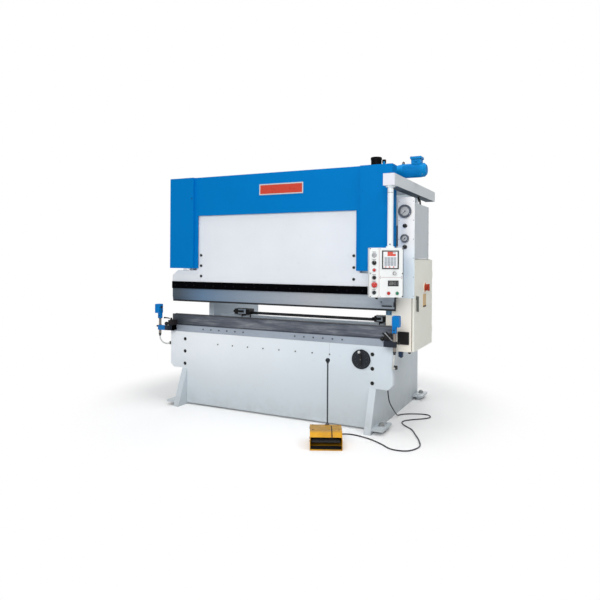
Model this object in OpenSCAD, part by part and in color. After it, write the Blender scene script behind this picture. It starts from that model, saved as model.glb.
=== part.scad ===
// Hydraulic press brake for bending sheet metal.
// X runs along the bed, Y runs from the operator to the back, Z is up from the floor.
// The origin is the centre of the four anchor holes, at floor level.

/* [Bed and ram] */
// Length of the bed and of the ram
bed_l = 2500; // [2400:10:3200]
// Height of the bed's top edge above the floor
bed_h = 775; // [700:5:850]
// Thickness of the bed plate and of the ram plate
plate_t = 60; // [40:1:70]
// Height of the lower edge of the bed's ears
ear_z = 384; // [330:1:420]
// Height of the lower edge of the bed's middle part
bed_bottom = 17; // [10:1:60]
// Chamfer on the outer corners of the ears
ear_chamfer = 42; // [10:1:60]
// Gap between the front of the bed plate and the front of the ram plate
ram_set_back = 20; // [12:1:30]
// Height of the ram plate
ram_h = 915; // [850:5:1000]
// Height of the ram's ears at their outer ends
ram_ear_h = 67; // [40:1:80]
// Height of the ram's ears under the cylinders
ram_shoulder_h = 123; // [100:1:140]

/* [Side frames] */
// Distance between the two side frames
frame_gap = 2060; // [1900:10:2200]
// Thickness of a side frame
frame_t = 64; // [40:1:80]
// Depth of a side frame behind the front of the bed
frame_d = 1500; // [1300:10:1800]
// Height of the side frames
frame_h = 2330; // [2250:5:2500]
// How far the toes stand out in front of the bed
toe = 150; // [60:5:200]
// Depth of the throat behind the front of the bed
throat_d = 490; // [400:5:560]
// Height of the throat's roof
throat_top = 1150; // [1120:5:1200]
// Corner radius of the throat
throat_r = 100; // [40:5:140]
// Thickness of a base plate
base_t = 20; // [12:1:30]
// Height of a base plate's underside above the floor
base_lift = 34; // [28:1:60]
// Width of a base plate
base_w = 106; // [90:1:140]
// Diameter of an anchor hole
anchor_d = 28; // [18:1:36]

/* [Tools] */
// Height of the die table
table_h = 67; // [40:1:90]
// Depth of the die table
table_d = 100; // [90:1:104]
// Height of the die
die_h = 118; // [80:1:140]
// Depth of the die
die_d = 60; // [50:1:70]
// Width of the die's vee
vee_w = 36; // [16:1:44]
// Height of the punch below its clamp
punch_h = 143; // [100:1:160]
// Open distance between the punch and the die
daylight = 137; // [60:1:150]
// Height of the punch clamp
clamp_h = 75; // [50:1:90]
// Stroke of the ram
stroke = 150; // [50:1:150]

/* [Covers] */
// How far the covers reach above the ram
cover_over_ram = 196; // [190:1:400]
// Height of the window in the front cover
window_h = 560; // [450:1:640]
// Gap between the ram's ears and the housings
housing_gap = 21; // [15:1:38]
// Width of a cylinder housing
housing_w = 307; // [280:1:340]
// How far the housings stand out in front of the bed
housing_out = 30; // [28:1:60]
// Sheet thickness
sheet = 3; // [2:0.5:4]

/* [Hydraulics] */
// Outer diameter of a cylinder
barrel_d = 132; // [116:1:134]
// Bore of a cylinder
bore_d = 104; // [80:1:108]
// Diameter of a piston rod
rod_d = 70; // [50:1:78]
// Radial running clearance of a piston and of its rod
fit = 0.05; // [0.02:0.01:0.1]
// Diameter of the motor
motor_d = 130; // [120:1:150]
// Length of the motor's stator case
motor_l = 185; // [170:1:320]
// Height of the motor's axis above the side frames
motor_lift = 80; // [80:1:110]

/* [Control side] */
// Side of the square support arm
arm_w = 100; // [80:1:120]
// Length of the support arm
arm_l = 1495; // [1200:5:1600]
// Diameter of the pendant's pole
pole_d = 50; // [40:1:60]
// Width of the pendant
pendant_w = 285; // [270:1:320]
// Height of the pendant
pendant_h = 418; // [400:1:460]
// Depth of the pendant
pendant_d = 100; // [80:1:120]
// Angle by which the pendant is turned
pendant_turn = 27; // [0:1:45]
// Depth of the electric cabinet
cabinet_l = 690; // [640:5:800]
// Height of the electric cabinet
cabinet_h = 846; // [800:1:900]
// Width of the gauge panel
panel_w = 153; // [145:1:160]

/* [Foot pedal] */
// Width of the pedal's guard
pedal_w = 268; // [220:1:300]
// Height of the pedal's guard
pedal_h = 144; // [140:1:180]
// Length of the pedal's guard
pedal_l = 280; // [240:1:320]
// Angle by which the pedal is turned
pedal_turn = 25; // [0:1:45]
// Diameter of the pedal's cord
cord_d = 11; // [8:0.5:12]

/* [Hidden] */

$fn = 48;
front_anchor_y = 100;
rear_anchor_y = frame_d - 160;
bed_face_y = -(front_anchor_y + rear_anchor_y) / 2;
frame_in = frame_gap / 2;
frame_out = frame_in + frame_t;
half_l = bed_l / 2;
upper_arm_y = ram_set_back + plate_t + 50;
tool_y = ram_set_back + plate_t / 2;
touch = 0.3;
cabinet_y = tool_y + 60;

// Heights of the tools, from the bed up
table_top = bed_h + table_h;
die_top = table_top + die_h;
punch_tip = die_top + daylight;
clamp_bottom = punch_tip + punch_h;
ram_bottom = clamp_bottom + clamp_h;
ram_top = ram_bottom + ram_h;
shoulder_z = ram_bottom + ram_shoulder_h;
housing_bottom = shoulder_z + housing_gap;
window_top = housing_bottom + window_h;
cover_top = ram_top + cover_over_ram;

// Base plates and levelling feet
base_front_y = -122;
base_front_l = 272;
base_rear_y = frame_d - 210;
base_rear_l = 240;
base_top = base_lift + base_t;
sleeve_wall = 8;
foot_x = frame_out + base_w / 2;
front_foot_y = 10;
rear_foot_y = frame_d - 50;
foot_screw_r = 15;
foot_pad_r = 38;
foot_pad_h = 12;
foot_nut_r = 26;

// Covers and cylinders
housing_x = frame_in - 90;
housing_back = cabinet_y - 10;
cylinder_x = frame_in + frame_t / 2;
barrel_bottom = shoulder_z + 42;
barrel_top = barrel_bottom + stroke + 410;
piston_h = 70;
piston_z = barrel_top - 30 - piston_h - 10;
ram_half = frame_in - 105;

// Tank, pump and motor
tank_y = 200;
tank_d = 420;
tank_z = frame_h - 330;
tank_top = frame_h + 10;
pump_y = 350;
motor_z = frame_h + motor_lift;
bell_x = frame_in + 5;
bell_l = 102;
bell_wall = 12;
pump_l = 105;
pump_r = 50;
bell_r = motor_d / 2 + 9;
cone_l = 98;
flange_t = 14;
terminal_w = 90;
terminal_h = 70;
terminal_rim = 8;
terminal_lid_h = 22;
motor_x = bell_x + bell_l + cone_l;
fan_x = motor_x + motor_l;
fan_l = 42;
terminal_x = fan_x - terminal_w - 5;
shaft_r = 12;
stator_bore_r = motor_d / 2 - 16;
filler_x = frame_in - 105;
filler_y = 480;
filler_neck_h = 170;
filler_neck_r = 30;

// Control side
side_x = half_l + 12;
arm_x = half_l + 4;
arm_y = -320;
arm_z = frame_h - 138;
pole_x = arm_x + arm_w / 2;
pole_y = arm_y + arm_w / 2;
pole_bottom = arm_z - 529;
pendant_left = -(pendant_w / 2 + 40);
cabinet_z = 725;
cabinet_body_x = half_l + 140;
door_x = cabinet_body_x + 6;
door_t = 19;
hinge_x = door_x + 12;
hinge_y = cabinet_y + cabinet_l + 12;
hinge_pin_r = 4;
gauge_box_z = cabinet_z + cabinet_h + 5;
gauge_box_h = 507;
gauge_box_l = 550;
panel_bottom = gauge_box_z - 361;
panel_top = gauge_box_z + 557;
panel_t = 6;
panel_y = cabinet_y - panel_t;
gauge_x = side_x + 66;
upper_gauge_z = panel_top - 129;
lower_gauge_z = panel_top - 376;
upper_knob_z = panel_top - 261;
lower_knob_z = panel_top - 453;

// Light guards
guard_x = half_l + 52;
guard_y = -120;
guard_arm_z = bed_h + 20;
guard_arm_h = 50;
stub_z = bed_h - 30;
post_top = bed_h + 190;
neck_z = bed_h + 143;
head_z = bed_h + 200;
head_w = 60;
head_h = 95;

// Back gauge
gauge_rail_x = 650;
gauge_rail_h = 60;
gauge_y = 560;
tie_y = frame_d - 200;
left_stop_x = 372 - frame_in;
right_stop_x = frame_in - 69;

// Foot pedal
pedal_x = 842;
pedal_y = -558;
rod_x = 16;
rod_y = 90;
rod_h = 577;

cord_route = [
    [1162, 140, 711], [1162, 140, 600], [1162, 140, 480], [1162, 142, 385], [1162, 160, 300],
    [1160, 210, 225], [1152, 320, 148], [1142, 450, 70], [1134, 550, 20], [1142, 615, 6], [1180, 665, 6],
    [1245, 705, 6], [1330, 740, 6], [1400, 735, 6], [1434, 680, 6], [1412, 610, 6],
    [1298, 500, 6], [1240, 425, 6], [1240, 350, 6], [1285, 280, 6], [1380, 180, 6],
    [1445, 55, 6], [1520, -105, 6], [1560, -260, 6], [1500, -400, 6], [1370, -420, 6],
    [1250, -330, 6], [1120, -250, 6], [990, -208, 6], [900, -210, 6], [840, -250, 6],
    [800, -310, 6], [784, -360, 12], [779, -402, 24], [777, -428, 30]
];
// Routes of the guards' hoses, from the lower end of a guard's stub, with X outwards
left_hose_route = [
    [0, 0, 0], [0, 0, -18], [-2, 3, -41], [-6, 12, -63], [-13, 26, -82],
    [-21, 45, -96], [-28, 67, -105], [-32, 90, -108], [-34, 115, -108]
];
right_hose_route = [
    [0, 0, 0], [-2, 0, -33], [-6, 0, -65], [-11, 3, -88], [-16, 12, -110],
    [-22, 26, -129], [-27, 45, -143], [-31, 67, -152], [-33, 90, -155], [-34, 115, -155]
];
hose_gland_l = 20;
hose_end_x = 18;
hose_end_y = guard_y + 115;
left_gland_z = stub_z - 108;
right_gland_z = stub_z - 155;
hose_gland_r = 12;
cord_gland = [1162, 140];
cord_gland_h = 14;

// Puts parts at the front face of the bed
module from_bed() {
    translate([0, bed_face_y, 0]) children();
}

// Box given by its lowest corner and its size
module block(corner, size) {
    translate(corner) cube(size);
}

// Bar along X
module x_bar(at, r, l) {
    translate(at) rotate([0, 90, 0]) cylinder(r = r, h = l);
}

// Bar along Y
module y_bar(at, r, l) {
    translate(at) rotate([-90, 0, 0]) cylinder(r = r, h = l);
}

// Bar along Z
module z_bar(at, r, l) {
    translate(at) cylinder(r = r, h = l);
}

// Extrudes a drawing of the YZ plane along X
module along_x(x, l) {
    translate([x, 0, 0]) rotate([90, 0, 90]) linear_extrude(l) children();
}

// Extrudes a drawing of the XZ plane along Y
module along_y(y, l) {
    translate([0, y + l, 0]) rotate([90, 0, 0]) linear_extrude(l) children();
}

// Makes a copy on each side of the machine
module both_sides() {
    for (side = [0, 1]) mirror([side, 0, 0]) children();
}

// Unit vector from a to b
function direction(a, b) = (b - a) / norm(b - a);

// Point of a smooth curve between b and c, at t from 0 to 1
function spline(a, b, c, d, t) =
    (2 * b + (c - a) * t + (2 * a - 5 * b + 4 * c - d) * t * t + (3 * b - a - 3 * c + d) * t * t * t) / 2;

// Smooth route through hand-set points
function smooth(p, steps) = let (n = len(p)) concat(
    [for (i = [0:n - 2], k = [0:steps - 1])
        spline(p[max(i - 1, 0)], p[i], p[i + 1], p[min(i + 2, n - 1)], k / steps)],
    [p[n - 1]]);

// Tube swept along a route
module tube(route, r, sides) {
    n = len(route);
    tangent = [for (i = [0:n - 1]) direction(route[max(i - 1, 0)], route[min(i + 1, n - 1)])];
    side = [for (t = tangent) let (s = cross(t, abs(t[2]) > 0.9 ? [0, 1, 0] : [0, 0, 1])) s / norm(s)];
    points = [for (i = [0:n - 1], k = [0:sides - 1])
        let (a = 360 * k / sides, up = cross(side[i], tangent[i]))
            route[i] + r * (cos(a) * side[i] + sin(a) * up)];
    walls = [for (i = [0:n - 2], k = [0:sides - 1]) let (j = (k + 1) % sides)
        [i * sides + k, i * sides + j, (i + 1) * sides + j, (i + 1) * sides + k]];
    ends = [[for (k = [sides - 1:-1:0]) k], [for (k = [0:sides - 1]) (n - 1) * sides + k]];
    polyhedron(points, concat(walls, ends), convexity = 8);
}

// ---- Side frames and base ----

module throat_cut() {
    reach = throat_d + 300;
    translate([-300, bed_h]) square([reach - throat_r, throat_top - bed_h]);
    translate([-300, bed_h + throat_r]) square([reach, throat_top - bed_h - 2 * throat_r]);
    for (z = [bed_h + throat_r, throat_top - throat_r]) translate([throat_d - throat_r, z]) circle(throat_r);
}

module frame_profile() {
    difference() {
        polygon([
            [-toe, 0], [frame_d, 0], [frame_d, frame_h], [upper_arm_y, frame_h],
            [upper_arm_y, bed_h], [plate_t, bed_h], [plate_t, ear_z], [0, ear_z]
        ]);
        throat_cut();
    }
}

// Base plate with a levelling screw's hole and a sleeve that an anchor bolt passes through
module base_plate(y, l, foot_y, anchor_y) {
    difference() {
        union() {
            block([frame_out, y, base_lift], [base_w, l, base_t]);
            z_bar([foot_x, anchor_y, 0], anchor_d / 2 + sleeve_wall, base_lift + 1);
        }
        z_bar([foot_x, foot_y, base_lift - 1], foot_screw_r + touch, base_t + 2);
        z_bar([foot_x, anchor_y, -1], anchor_d / 2, base_top + 2);
    }
}

module side_frame() {
    along_x(frame_in, frame_t) frame_profile();
    base_plate(base_front_y, base_front_l, front_foot_y, front_anchor_y);
    base_plate(base_rear_y, base_rear_l, rear_foot_y, rear_anchor_y);
}

module side_frames() {
    color("gainsboro") from_bed() both_sides() side_frame();
}

module levelling_foot() {
    nut_h = base_lift - foot_pad_h - 4;
    cylinder(r = foot_pad_r, h = foot_pad_h);
    cylinder(r = foot_screw_r, h = base_top + 30);
    translate([0, 0, base_lift - nut_h]) cylinder(r = foot_nut_r, h = nut_h, $fn = 6);
    translate([0, 0, base_top]) cylinder(r = foot_nut_r, h = 22, $fn = 6);
}

module levelling_feet() {
    color("dimgray") from_bed() both_sides()
        for (y = [front_foot_y, rear_foot_y]) translate([foot_x, y, 0]) levelling_foot();
}

module cross_ties() {
    tie_t = 30;
    lower_tie_z = 120;
    upper_tie_z = 1400;
    upper_tie_h = 500;
    color("gainsboro") from_bed() {
        block([-frame_in, tie_y, lower_tie_z], [frame_gap, tie_t, bed_h - lower_tie_z]);
        block([-frame_in, tie_y, upper_tie_z], [frame_gap, tie_t, upper_tie_h]);
    }
}

// ---- Bed ----

bolt_x = frame_in + frame_t / 2 - 3;
bolt_heights = [bed_h - 78, bed_h - 209, bed_h - 342];
bolt_r = 10;
bolt_head_r = 18;
bolt_head_h = 14;

module bed_profile() {
    inner = frame_in - 1;
    right = [
        [half_l, bed_h], [half_l, ear_z + ear_chamfer], [half_l - ear_chamfer, ear_z],
        [inner, ear_z], [inner, bed_bottom]
    ];
    left = [for (i = [len(right) - 1:-1:0]) [-right[i][0], right[i][1]]];
    polygon(concat(right, left));
}

module bed_plate() {
    color("aliceblue") from_bed() difference() {
        along_y(0, plate_t) bed_profile();
        both_sides() for (z = bolt_heights) {
            y_bar([bolt_x, -1, z], bolt_head_r + 3, bolt_head_h + 1);
            y_bar([bolt_x, -1, z], bolt_r + 0.4, plate_t + 2);
        }
        y_bar([dial_x, -1, dial_z], dial_shaft_r + fit, 38);
    }
}

// Socket-head screw along Y with its head to the front
module socket_screw(at, head_r, head_h, shank_r, shank_l) {
    difference() {
        y_bar(at, head_r, head_h);
        translate(at - [0, 1, 0]) rotate([-90, 0, 0]) cylinder(r = head_r * 0.5, h = head_h * 0.6 + 1, $fn = 6);
    }
    y_bar(at + [0, head_h, 0], shank_r, shank_l);
}

table_screw_pitch = 99.5;
plate_screw_pitch = 181.4;

module bed_fasteners() {
    screw_z = bed_h - 110;
    table_z = bed_h + table_h * 0.56;
    color("black") from_bed() {
        both_sides() for (z = bolt_heights)
            socket_screw([bolt_x, 0, z], bolt_head_r, bolt_head_h, bolt_r, plate_t - bolt_head_h);
        for (i = [0:7]) y_bar([-635 + i * plate_screw_pitch, -4, screw_z], 7, 4);
        for (start = [-823, 265], i = [0:5]) y_bar([start + i * table_screw_pitch, -3, table_z], 8, 3);
        mirror([1, 0, 0]) hose_junction(left_gland_z);
        hose_junction(right_gland_z);
    }
}

// Block on the bed's end face with a gland for a guard's hose
module hose_junction(z) {
    y_bar([half_l + hose_end_x, hose_end_y, z], hose_gland_r, hose_gland_l + 1);
    block([half_l, hose_end_y + hose_gland_l, z - 16], [hose_end_x + 15, 32, 32]);
}

table_slot_w = 14;
table_slot_h = 12;

module die_table() {
    color("silver") from_bed() difference() {
        block([-half_l + 4, 0, bed_h], [bed_l - 8, table_d, table_h]);
        block([-half_l, tool_y - table_slot_w / 2, table_top - table_slot_h],
            [bed_l, table_slot_w, table_slot_h + 1]);
    }
}

module die_profile() {
    half = die_d / 2;
    foot = half - 6;
    foot_h = 12;
    tongue = table_slot_w / 2 - touch;
    tongue_h = table_slot_h - 1;
    polygon([
        [-foot, 0], [-tongue, 0], [-tongue, -tongue_h], [tongue, -tongue_h], [tongue, 0], [foot, 0],
        [foot, foot_h], [half, foot_h], [half, die_h], [vee_w / 2, die_h], [0, die_h - vee_w * 0.55],
        [-vee_w / 2, die_h], [-half, die_h], [-half, foot_h], [-foot, foot_h]
    ]);
}

module die() {
    color("slategray") from_bed() translate([0, tool_y, table_top])
        along_x(-half_l + 5, bed_l - 10) die_profile();
}

// ---- Ram ----

module ram_profile() {
    right = [
        [half_l, ram_bottom], [half_l, ram_bottom + ram_ear_h], [half_l - 75, shoulder_z],
        [ram_half, shoulder_z], [ram_half, ram_top]
    ];
    left = [for (i = [len(right) - 1:-1:0]) [-right[i][0], right[i][1]]];
    polygon(concat(right, left));
}

module ram_plate() {
    color("aliceblue") from_bed() along_y(ram_set_back, plate_t) ram_profile();
}

module ram_bolts() {
    color("black") from_bed() both_sides() for (i = [0:2])
        y_bar([ram_half - 58, ram_set_back - 5, ram_bottom + 63 + i * 110], 13, 5);
}

clamp_slot_w = 13;
clamp_slot_h = 25;

module punch_clamp() {
    clamp_d = plate_t + 20;
    color("dimgray") from_bed() difference() {
        block([-half_l, tool_y - clamp_d / 2, clamp_bottom], [bed_l, clamp_d, clamp_h]);
        block([-half_l - 1, tool_y - clamp_slot_w / 2, clamp_bottom - 1],
            [bed_l + 2, clamp_slot_w, clamp_slot_h + 1]);
    }
}

module punch_profile() {
    tang = clamp_slot_w / 2 - 0.2;
    tang_h = clamp_slot_h - 1;
    half = 13;
    tip = 3;
    polygon([
        [-tip, 0], [tip, 0], [half, punch_h * 0.4], [half, punch_h], [tang, punch_h], [tang, punch_h + tang_h],
        [-tang, punch_h + tang_h], [-tang, punch_h], [-half, punch_h], [-half, punch_h * 0.4]
    ]);
}

module punch_handle() {
    left = half_l - 125;
    right = half_l + 5;
    out = tool_y - 38;
    r = 5;
    for (x = [left, right]) {
        y_bar([x, out, punch_tip + 78], r, 38 - 12);
        z_bar([x, out, punch_tip + 45], r, 38);
        translate([x, out, punch_tip + 45]) sphere(r);
    }
    x_bar([left, out, punch_tip + 45], r, right - left);
}

module punch() {
    color("slategray") from_bed() {
        translate([0, tool_y, punch_tip]) along_x(-half_l - 12, bed_l + 24) punch_profile();
        punch_handle();
    }
}

rod_flange_h = 20;

module piston_rods() {
    color("silver") from_bed() both_sides() translate([cylinder_x, tool_y, 0]) {
        z_bar([0, 0, shoulder_z], rod_d / 2 + 18, rod_flange_h);
        z_bar([0, 0, shoulder_z + rod_flange_h], rod_d / 2, piston_z - shoulder_z - rod_flange_h);
        z_bar([0, 0, piston_z], bore_d / 2 - fit, piston_h);
    }
}

module cylinder_barrel() {
    gland_h = 50;
    head_h = 30;
    difference() {
        union() {
            z_bar([0, 0, barrel_bottom], barrel_d / 2, barrel_top - barrel_bottom);
            block([-frame_t / 2 + 2, 0, barrel_bottom + 80], [frame_t - 4, upper_arm_y - tool_y, 400]);
        }
        z_bar([0, 0, barrel_bottom - 1], rod_d / 2 + fit, gland_h + 2);
        z_bar([0, 0, barrel_bottom + gland_h], bore_d / 2, barrel_top - barrel_bottom - gland_h - head_h);
    }
}

module cylinder_barrels() {
    color("gray") from_bed() both_sides() translate([cylinder_x, tool_y, 0]) cylinder_barrel();
}

guide_w = 60;
guide_h = 120;
guide_x = ram_half - guide_w - 5;

module ram_guide(z) {
    face_y = ram_set_back + plate_t + touch;
    block([guide_x, face_y, z], [guide_w, upper_arm_y + 1 - face_y, guide_h]);
    block([guide_x, upper_arm_y, z], [frame_in - guide_x, guide_w, guide_h]);
}

module ram_guides() {
    color("gray") from_bed() both_sides() for (z = [shoulder_z + 80, shoulder_z + 440]) ram_guide(z);
}

// ---- Covers ----

window_x = housing_x - 45;
cover_leg_d = 14;

module front_cover() {
    color("steelblue") from_bed() {
        difference() {
            block([-housing_x, 0, housing_bottom], [2 * housing_x, sheet, cover_top - housing_bottom]);
            block([-window_x, -1, housing_bottom - 1],
                [2 * window_x, sheet + 2, window_top - housing_bottom + 1]);
        }
        block([-housing_x, 0, cover_top - sheet], [2 * housing_x, tank_y - 20, sheet]);
        both_sides()
            block([housing_x - sheet, 0, housing_bottom], [sheet, cover_leg_d, cover_top - housing_bottom]);
    }
}

// Folded sheet box, open at its back and its foot, with a tab on the side frame
module housing() {
    h = cover_top - housing_bottom;
    depth = housing_back + housing_out;
    tab_x = cylinder_x + barrel_d / 2 + 6;
    tab_z = cabinet_z + cabinet_h + 49;
    tab_d = 60;
    tab_h = cover_top - tab_z - 180;
    block([housing_x, -housing_out, housing_bottom], [housing_w, sheet, h]);
    block([housing_x, -housing_out, housing_bottom], [sheet, housing_out + ram_set_back + plate_t - 10, h]);
    block([housing_x + housing_w - sheet, -housing_out, housing_bottom], [sheet, depth, h]);
    block([housing_x, -housing_out, cover_top - sheet], [housing_w, depth, sheet]);
    block([tab_x, housing_back - sheet, tab_z], [housing_x + housing_w - tab_x, sheet, cover_top - tab_z]);
    block([tab_x, housing_back - sheet, tab_z], [sheet, tab_d, tab_h]);
    block([frame_out, housing_back + tab_d - 2 * sheet, tab_z], [tab_x - frame_out + sheet, sheet, tab_h]);
}

nameplate_z = cover_top - 222;
nameplate_t = 4;

module cylinder_housings() {
    color("steelblue") from_bed() {
        both_sides() housing();
        y_bar([housing_x + 18, -housing_out - 4, nameplate_z], 9, 4);
    }
}

module nameplate() {
    color("firebrick") from_bed() block([-142, -nameplate_t, nameplate_z], [489, nameplate_t, 110]);
}

// ---- Tank, pump and motor ----

tank_wall = 8;
tank_lid_t = 10;

module hydraulic_tank() {
    color("steelblue") from_bed() difference() {
        block([-frame_in, tank_y, tank_z], [frame_gap, tank_d, tank_top - tank_z]);
        block([-frame_in + tank_wall, tank_y + tank_wall, tank_z + tank_wall],
            [frame_gap - 2 * tank_wall, tank_d - 2 * tank_wall, tank_top - tank_z]);
    }
}

module tank_lid() {
    color("steelblue") from_bed() difference() {
        union() {
            block([-frame_in, tank_y, tank_top], [frame_gap, tank_d, tank_lid_t]);
            z_bar([filler_x, filler_y, tank_top], filler_neck_r, filler_neck_h);
        }
        z_bar([filler_x, filler_y, tank_top - 1], filler_neck_r - 6, filler_neck_h + 2);
    }
}

module filler_cap() {
    cap_r = 52;
    cap_h = 95;
    socket_h = 20;
    cap_z = tank_top + filler_neck_h - socket_h + touch;
    color("black") from_bed() translate([filler_x, filler_y, cap_z]) difference() {
        union() {
            cylinder(r = cap_r, h = cap_h);
            translate([0, 0, cap_h - 25]) cylinder(r = cap_r + 4, h = 20);
        }
        translate([0, 0, -1]) cylinder(r = filler_neck_r + fit, h = socket_h + 1);
    }
}

module pump() {
    color("steelblue") from_bed() translate([0, pump_y, motor_z]) {
        x_bar([bell_x - pump_l, 0, 0], pump_r, pump_l);
        difference() {
            union() {
                x_bar([bell_x, 0, 0], bell_r, bell_l);
                block([bell_x + 5, -pump_r, -motor_lift], [frame_t - 15, 2 * pump_r, motor_lift - 60]);
            }
            x_bar([bell_x + bell_wall, 0, 0], bell_r - bell_wall, bell_l - bell_wall + 1);
        }
        z_bar([bell_x + bell_wall, 0, bell_r - 4], 10, 34);
    }
}

module motor_case() {
    terminal_lid_z = motor_d / 2 - 12 + terminal_h - terminal_lid_h;
    color("steelblue") from_bed() translate([0, pump_y, motor_z]) difference() {
        union() {
            x_bar([bell_x + bell_l, 0, 0], bell_r, flange_t);
            translate([bell_x + bell_l + flange_t, 0, 0]) rotate([0, 90, 0])
                cylinder(r1 = motor_d / 2 - 14, r2 = motor_d / 2, h = cone_l - flange_t);
            x_bar([motor_x, 0, 0], motor_d / 2, motor_l);
            block([terminal_x, -terminal_w / 2, motor_d / 2 - 12], [terminal_w, terminal_w, terminal_h]);
            block([terminal_x - terminal_rim, -terminal_w / 2 - terminal_rim, terminal_lid_z],
                [terminal_w + 2 * terminal_rim, terminal_w + 2 * terminal_rim, terminal_lid_h]);
        }
        x_bar([motor_x + 4, 0, 0], stator_bore_r, motor_l - 14);
        x_bar([bell_x, 0, 0], shaft_r + fit, fan_x + fan_l - bell_x);
    }
    fan_cover();
}

module motor_rotor() {
    color("silver") from_bed() translate([0, pump_y, motor_z]) {
        x_bar([bell_x + 20, 0, 0], shaft_r, fan_x + 30 - bell_x - 20);
        x_bar([bell_x + 30, 0, 0], 35, 60);
        x_bar([motor_x + 30, 0, 0], stator_bore_r - 2, motor_l - 70);
        x_bar([fan_x + 12, 0, 0], motor_d / 2 - 12, 16);
    }
}

module fan_cover() {
    r = motor_d / 2;
    color("steelblue") from_bed() translate([fan_x, pump_y, motor_z]) rotate([0, 90, 0])
        rotate_extrude($fn = 64)
        polygon([
            [r - 3, 0], [r, 0], [r, fan_l - 20], [r - 18, fan_l], [20, fan_l], [20, fan_l - 3],
            [r - 20, fan_l - 3], [r - 3, fan_l - 22]
        ]);
}

module valve_block() {
    block([-45, -45, 0], [90, 90, 130]);
    block([-30, -30, 130], [60, 60, 70]);
}

pipe_r = 11;
elbow_half = 15;
pipe_z = ram_top + 75;

module elbow(at) {
    block([at[0] - elbow_half, at[1] - elbow_half, at[2] - elbow_half], 2 * elbow_half * [1, 1, 1]);
}

module pipework() {
    block_z = barrel_top;
    inlet_z = block_z + 90;
    pipe_y = tool_y + 55;
    inner_x = frame_in - 70;
    overlap = elbow_half - 4;
    color("gray") from_bed() both_sides() {
        translate([cylinder_x, tool_y, block_z]) valve_block();
        elbow([cylinder_x, pipe_y, inlet_z]);
        elbow([cylinder_x, pipe_y, pipe_z]);
        elbow([inner_x, pipe_y, pipe_z]);
        z_bar([cylinder_x, pipe_y, inlet_z + overlap], pipe_r, pipe_z - inlet_z - 2 * overlap);
        x_bar([inner_x + overlap, pipe_y, pipe_z], pipe_r, cylinder_x - inner_x - 2 * overlap);
        y_bar([inner_x, pipe_y + overlap, pipe_z], pipe_r, tank_y - pipe_y - overlap);
    }
}

// ---- Support arm and pendant ----

module support_arm() {
    wall = 5;
    stand_off = arm_x - frame_out;
    color("gainsboro") from_bed() {
        difference() {
            block([arm_x, arm_y, arm_z], [arm_w, arm_l, arm_w]);
            block([arm_x + wall, arm_y + wall, arm_z + wall], [arm_w - 2 * wall, arm_l, arm_w - 2 * wall]);
        }
        for (y = [500, 1040]) block([frame_out, y, arm_z + 20], [stand_off, 90, arm_w - 40]);
    }
}

module at_pendant() {
    from_bed() translate([pole_x, pole_y, 0]) rotate([0, 0, pendant_turn]) children();
}

pendant_bottom = pole_bottom - pendant_h;
pendant_face = -pendant_d / 2;

module pendant_pole() {
    color("lightsteelblue") at_pendant() {
        z_bar([0, 0, pole_bottom], pole_d / 2, arm_z - pole_bottom - 12 - touch);
        z_bar([0, 0, arm_z - 12 - touch], pole_d / 2 + 14, 12);
        z_bar([0, 0, pole_bottom], pole_d / 2 + 10, 14);
        y_bar([-8, -pole_d / 2 - 5, pole_bottom + 30], 5, 8);
    }
}

module control_hole(x, z, r) {
    y_bar([x, pendant_face - 1, z], r, 26);
}

button_x = pendant_left + 39;
key_z = pendant_bottom + 355;
mode_z = pendant_bottom + 291;
lamp_z = pendant_bottom + 230;
upper_button_z = pendant_bottom + 166;
stop_z = pendant_bottom + 106;
lower_button_z = pendant_bottom + 41;
speed_x = pendant_left + 211;
speed_z = pendant_bottom + 203;
red_x = pendant_left + 162;
green_x = pendant_left + 234;
start_z = pendant_bottom + 35;
stem_r = 8;

module pendant_case() {
    color("gainsboro") at_pendant() difference() {
        union() {
            block([pendant_left, pendant_face, pendant_bottom], [pendant_w, pendant_d, pendant_h]);
            y_bar([button_x, pendant_face - 4, lamp_z], 15, 4);
        }
        for (z = [key_z, mode_z, upper_button_z, stop_z, lower_button_z])
            control_hole(button_x, z, stem_r + touch);
        control_hole(speed_x, speed_z, stem_r + touch);
        for (x = [red_x, green_x]) control_hole(x, start_z, stem_r + touch);
    }
}

module pendant_display() {
    color("black") at_pendant() {
        block([pendant_left + 107, pendant_face - 3, pendant_bottom + 241], [138, 3, 152]);
        block([pendant_left + 158, pendant_face - 2, pendant_bottom + 97], [85, 2, 43]);
    }
}

// Turning or pressing control with a stem in the pendant's face
module control(x, z, r, cap_h, stand_off) {
    y_bar([x, pendant_face - stand_off - cap_h, z], r, cap_h);
    y_bar([x, pendant_face - stand_off - 1, z], stem_r, 20 + stand_off);
}

module key_selector() {
    color("gray") at_pendant() {
        control(button_x, key_z, 16, 8, touch);
        block([button_x - 3, pendant_face - 22, key_z - 11], [6, 15, 22]);
    }
}

module mode_selector() {
    color("black") at_pendant() {
        control(button_x, mode_z, 16, 8, touch);
        block([button_x - 5, pendant_face - 22, mode_z - 15], [10, 15, 30]);
    }
}

module left_upper_button() {
    color("black") at_pendant() control(button_x, upper_button_z, 14, 8, 5);
}

module left_lower_button() {
    color("dimgray") at_pendant() control(button_x, lower_button_z, 14, 8, 5);
}

module emergency_stop() {
    color("red") at_pendant() control(button_x, stop_z, 23, 16, 10);
}

module speed_knob() {
    color("gray") at_pendant() control(speed_x, speed_z, 13, 18, touch);
}

module stop_button() {
    color("red") at_pendant() control(red_x, start_z, 13, 6, 5);
}

module start_button() {
    color("green") at_pendant() control(green_x, start_z, 13, 6, 5);
}

// ---- Gauge box ----

panel_corner = 22;

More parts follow.
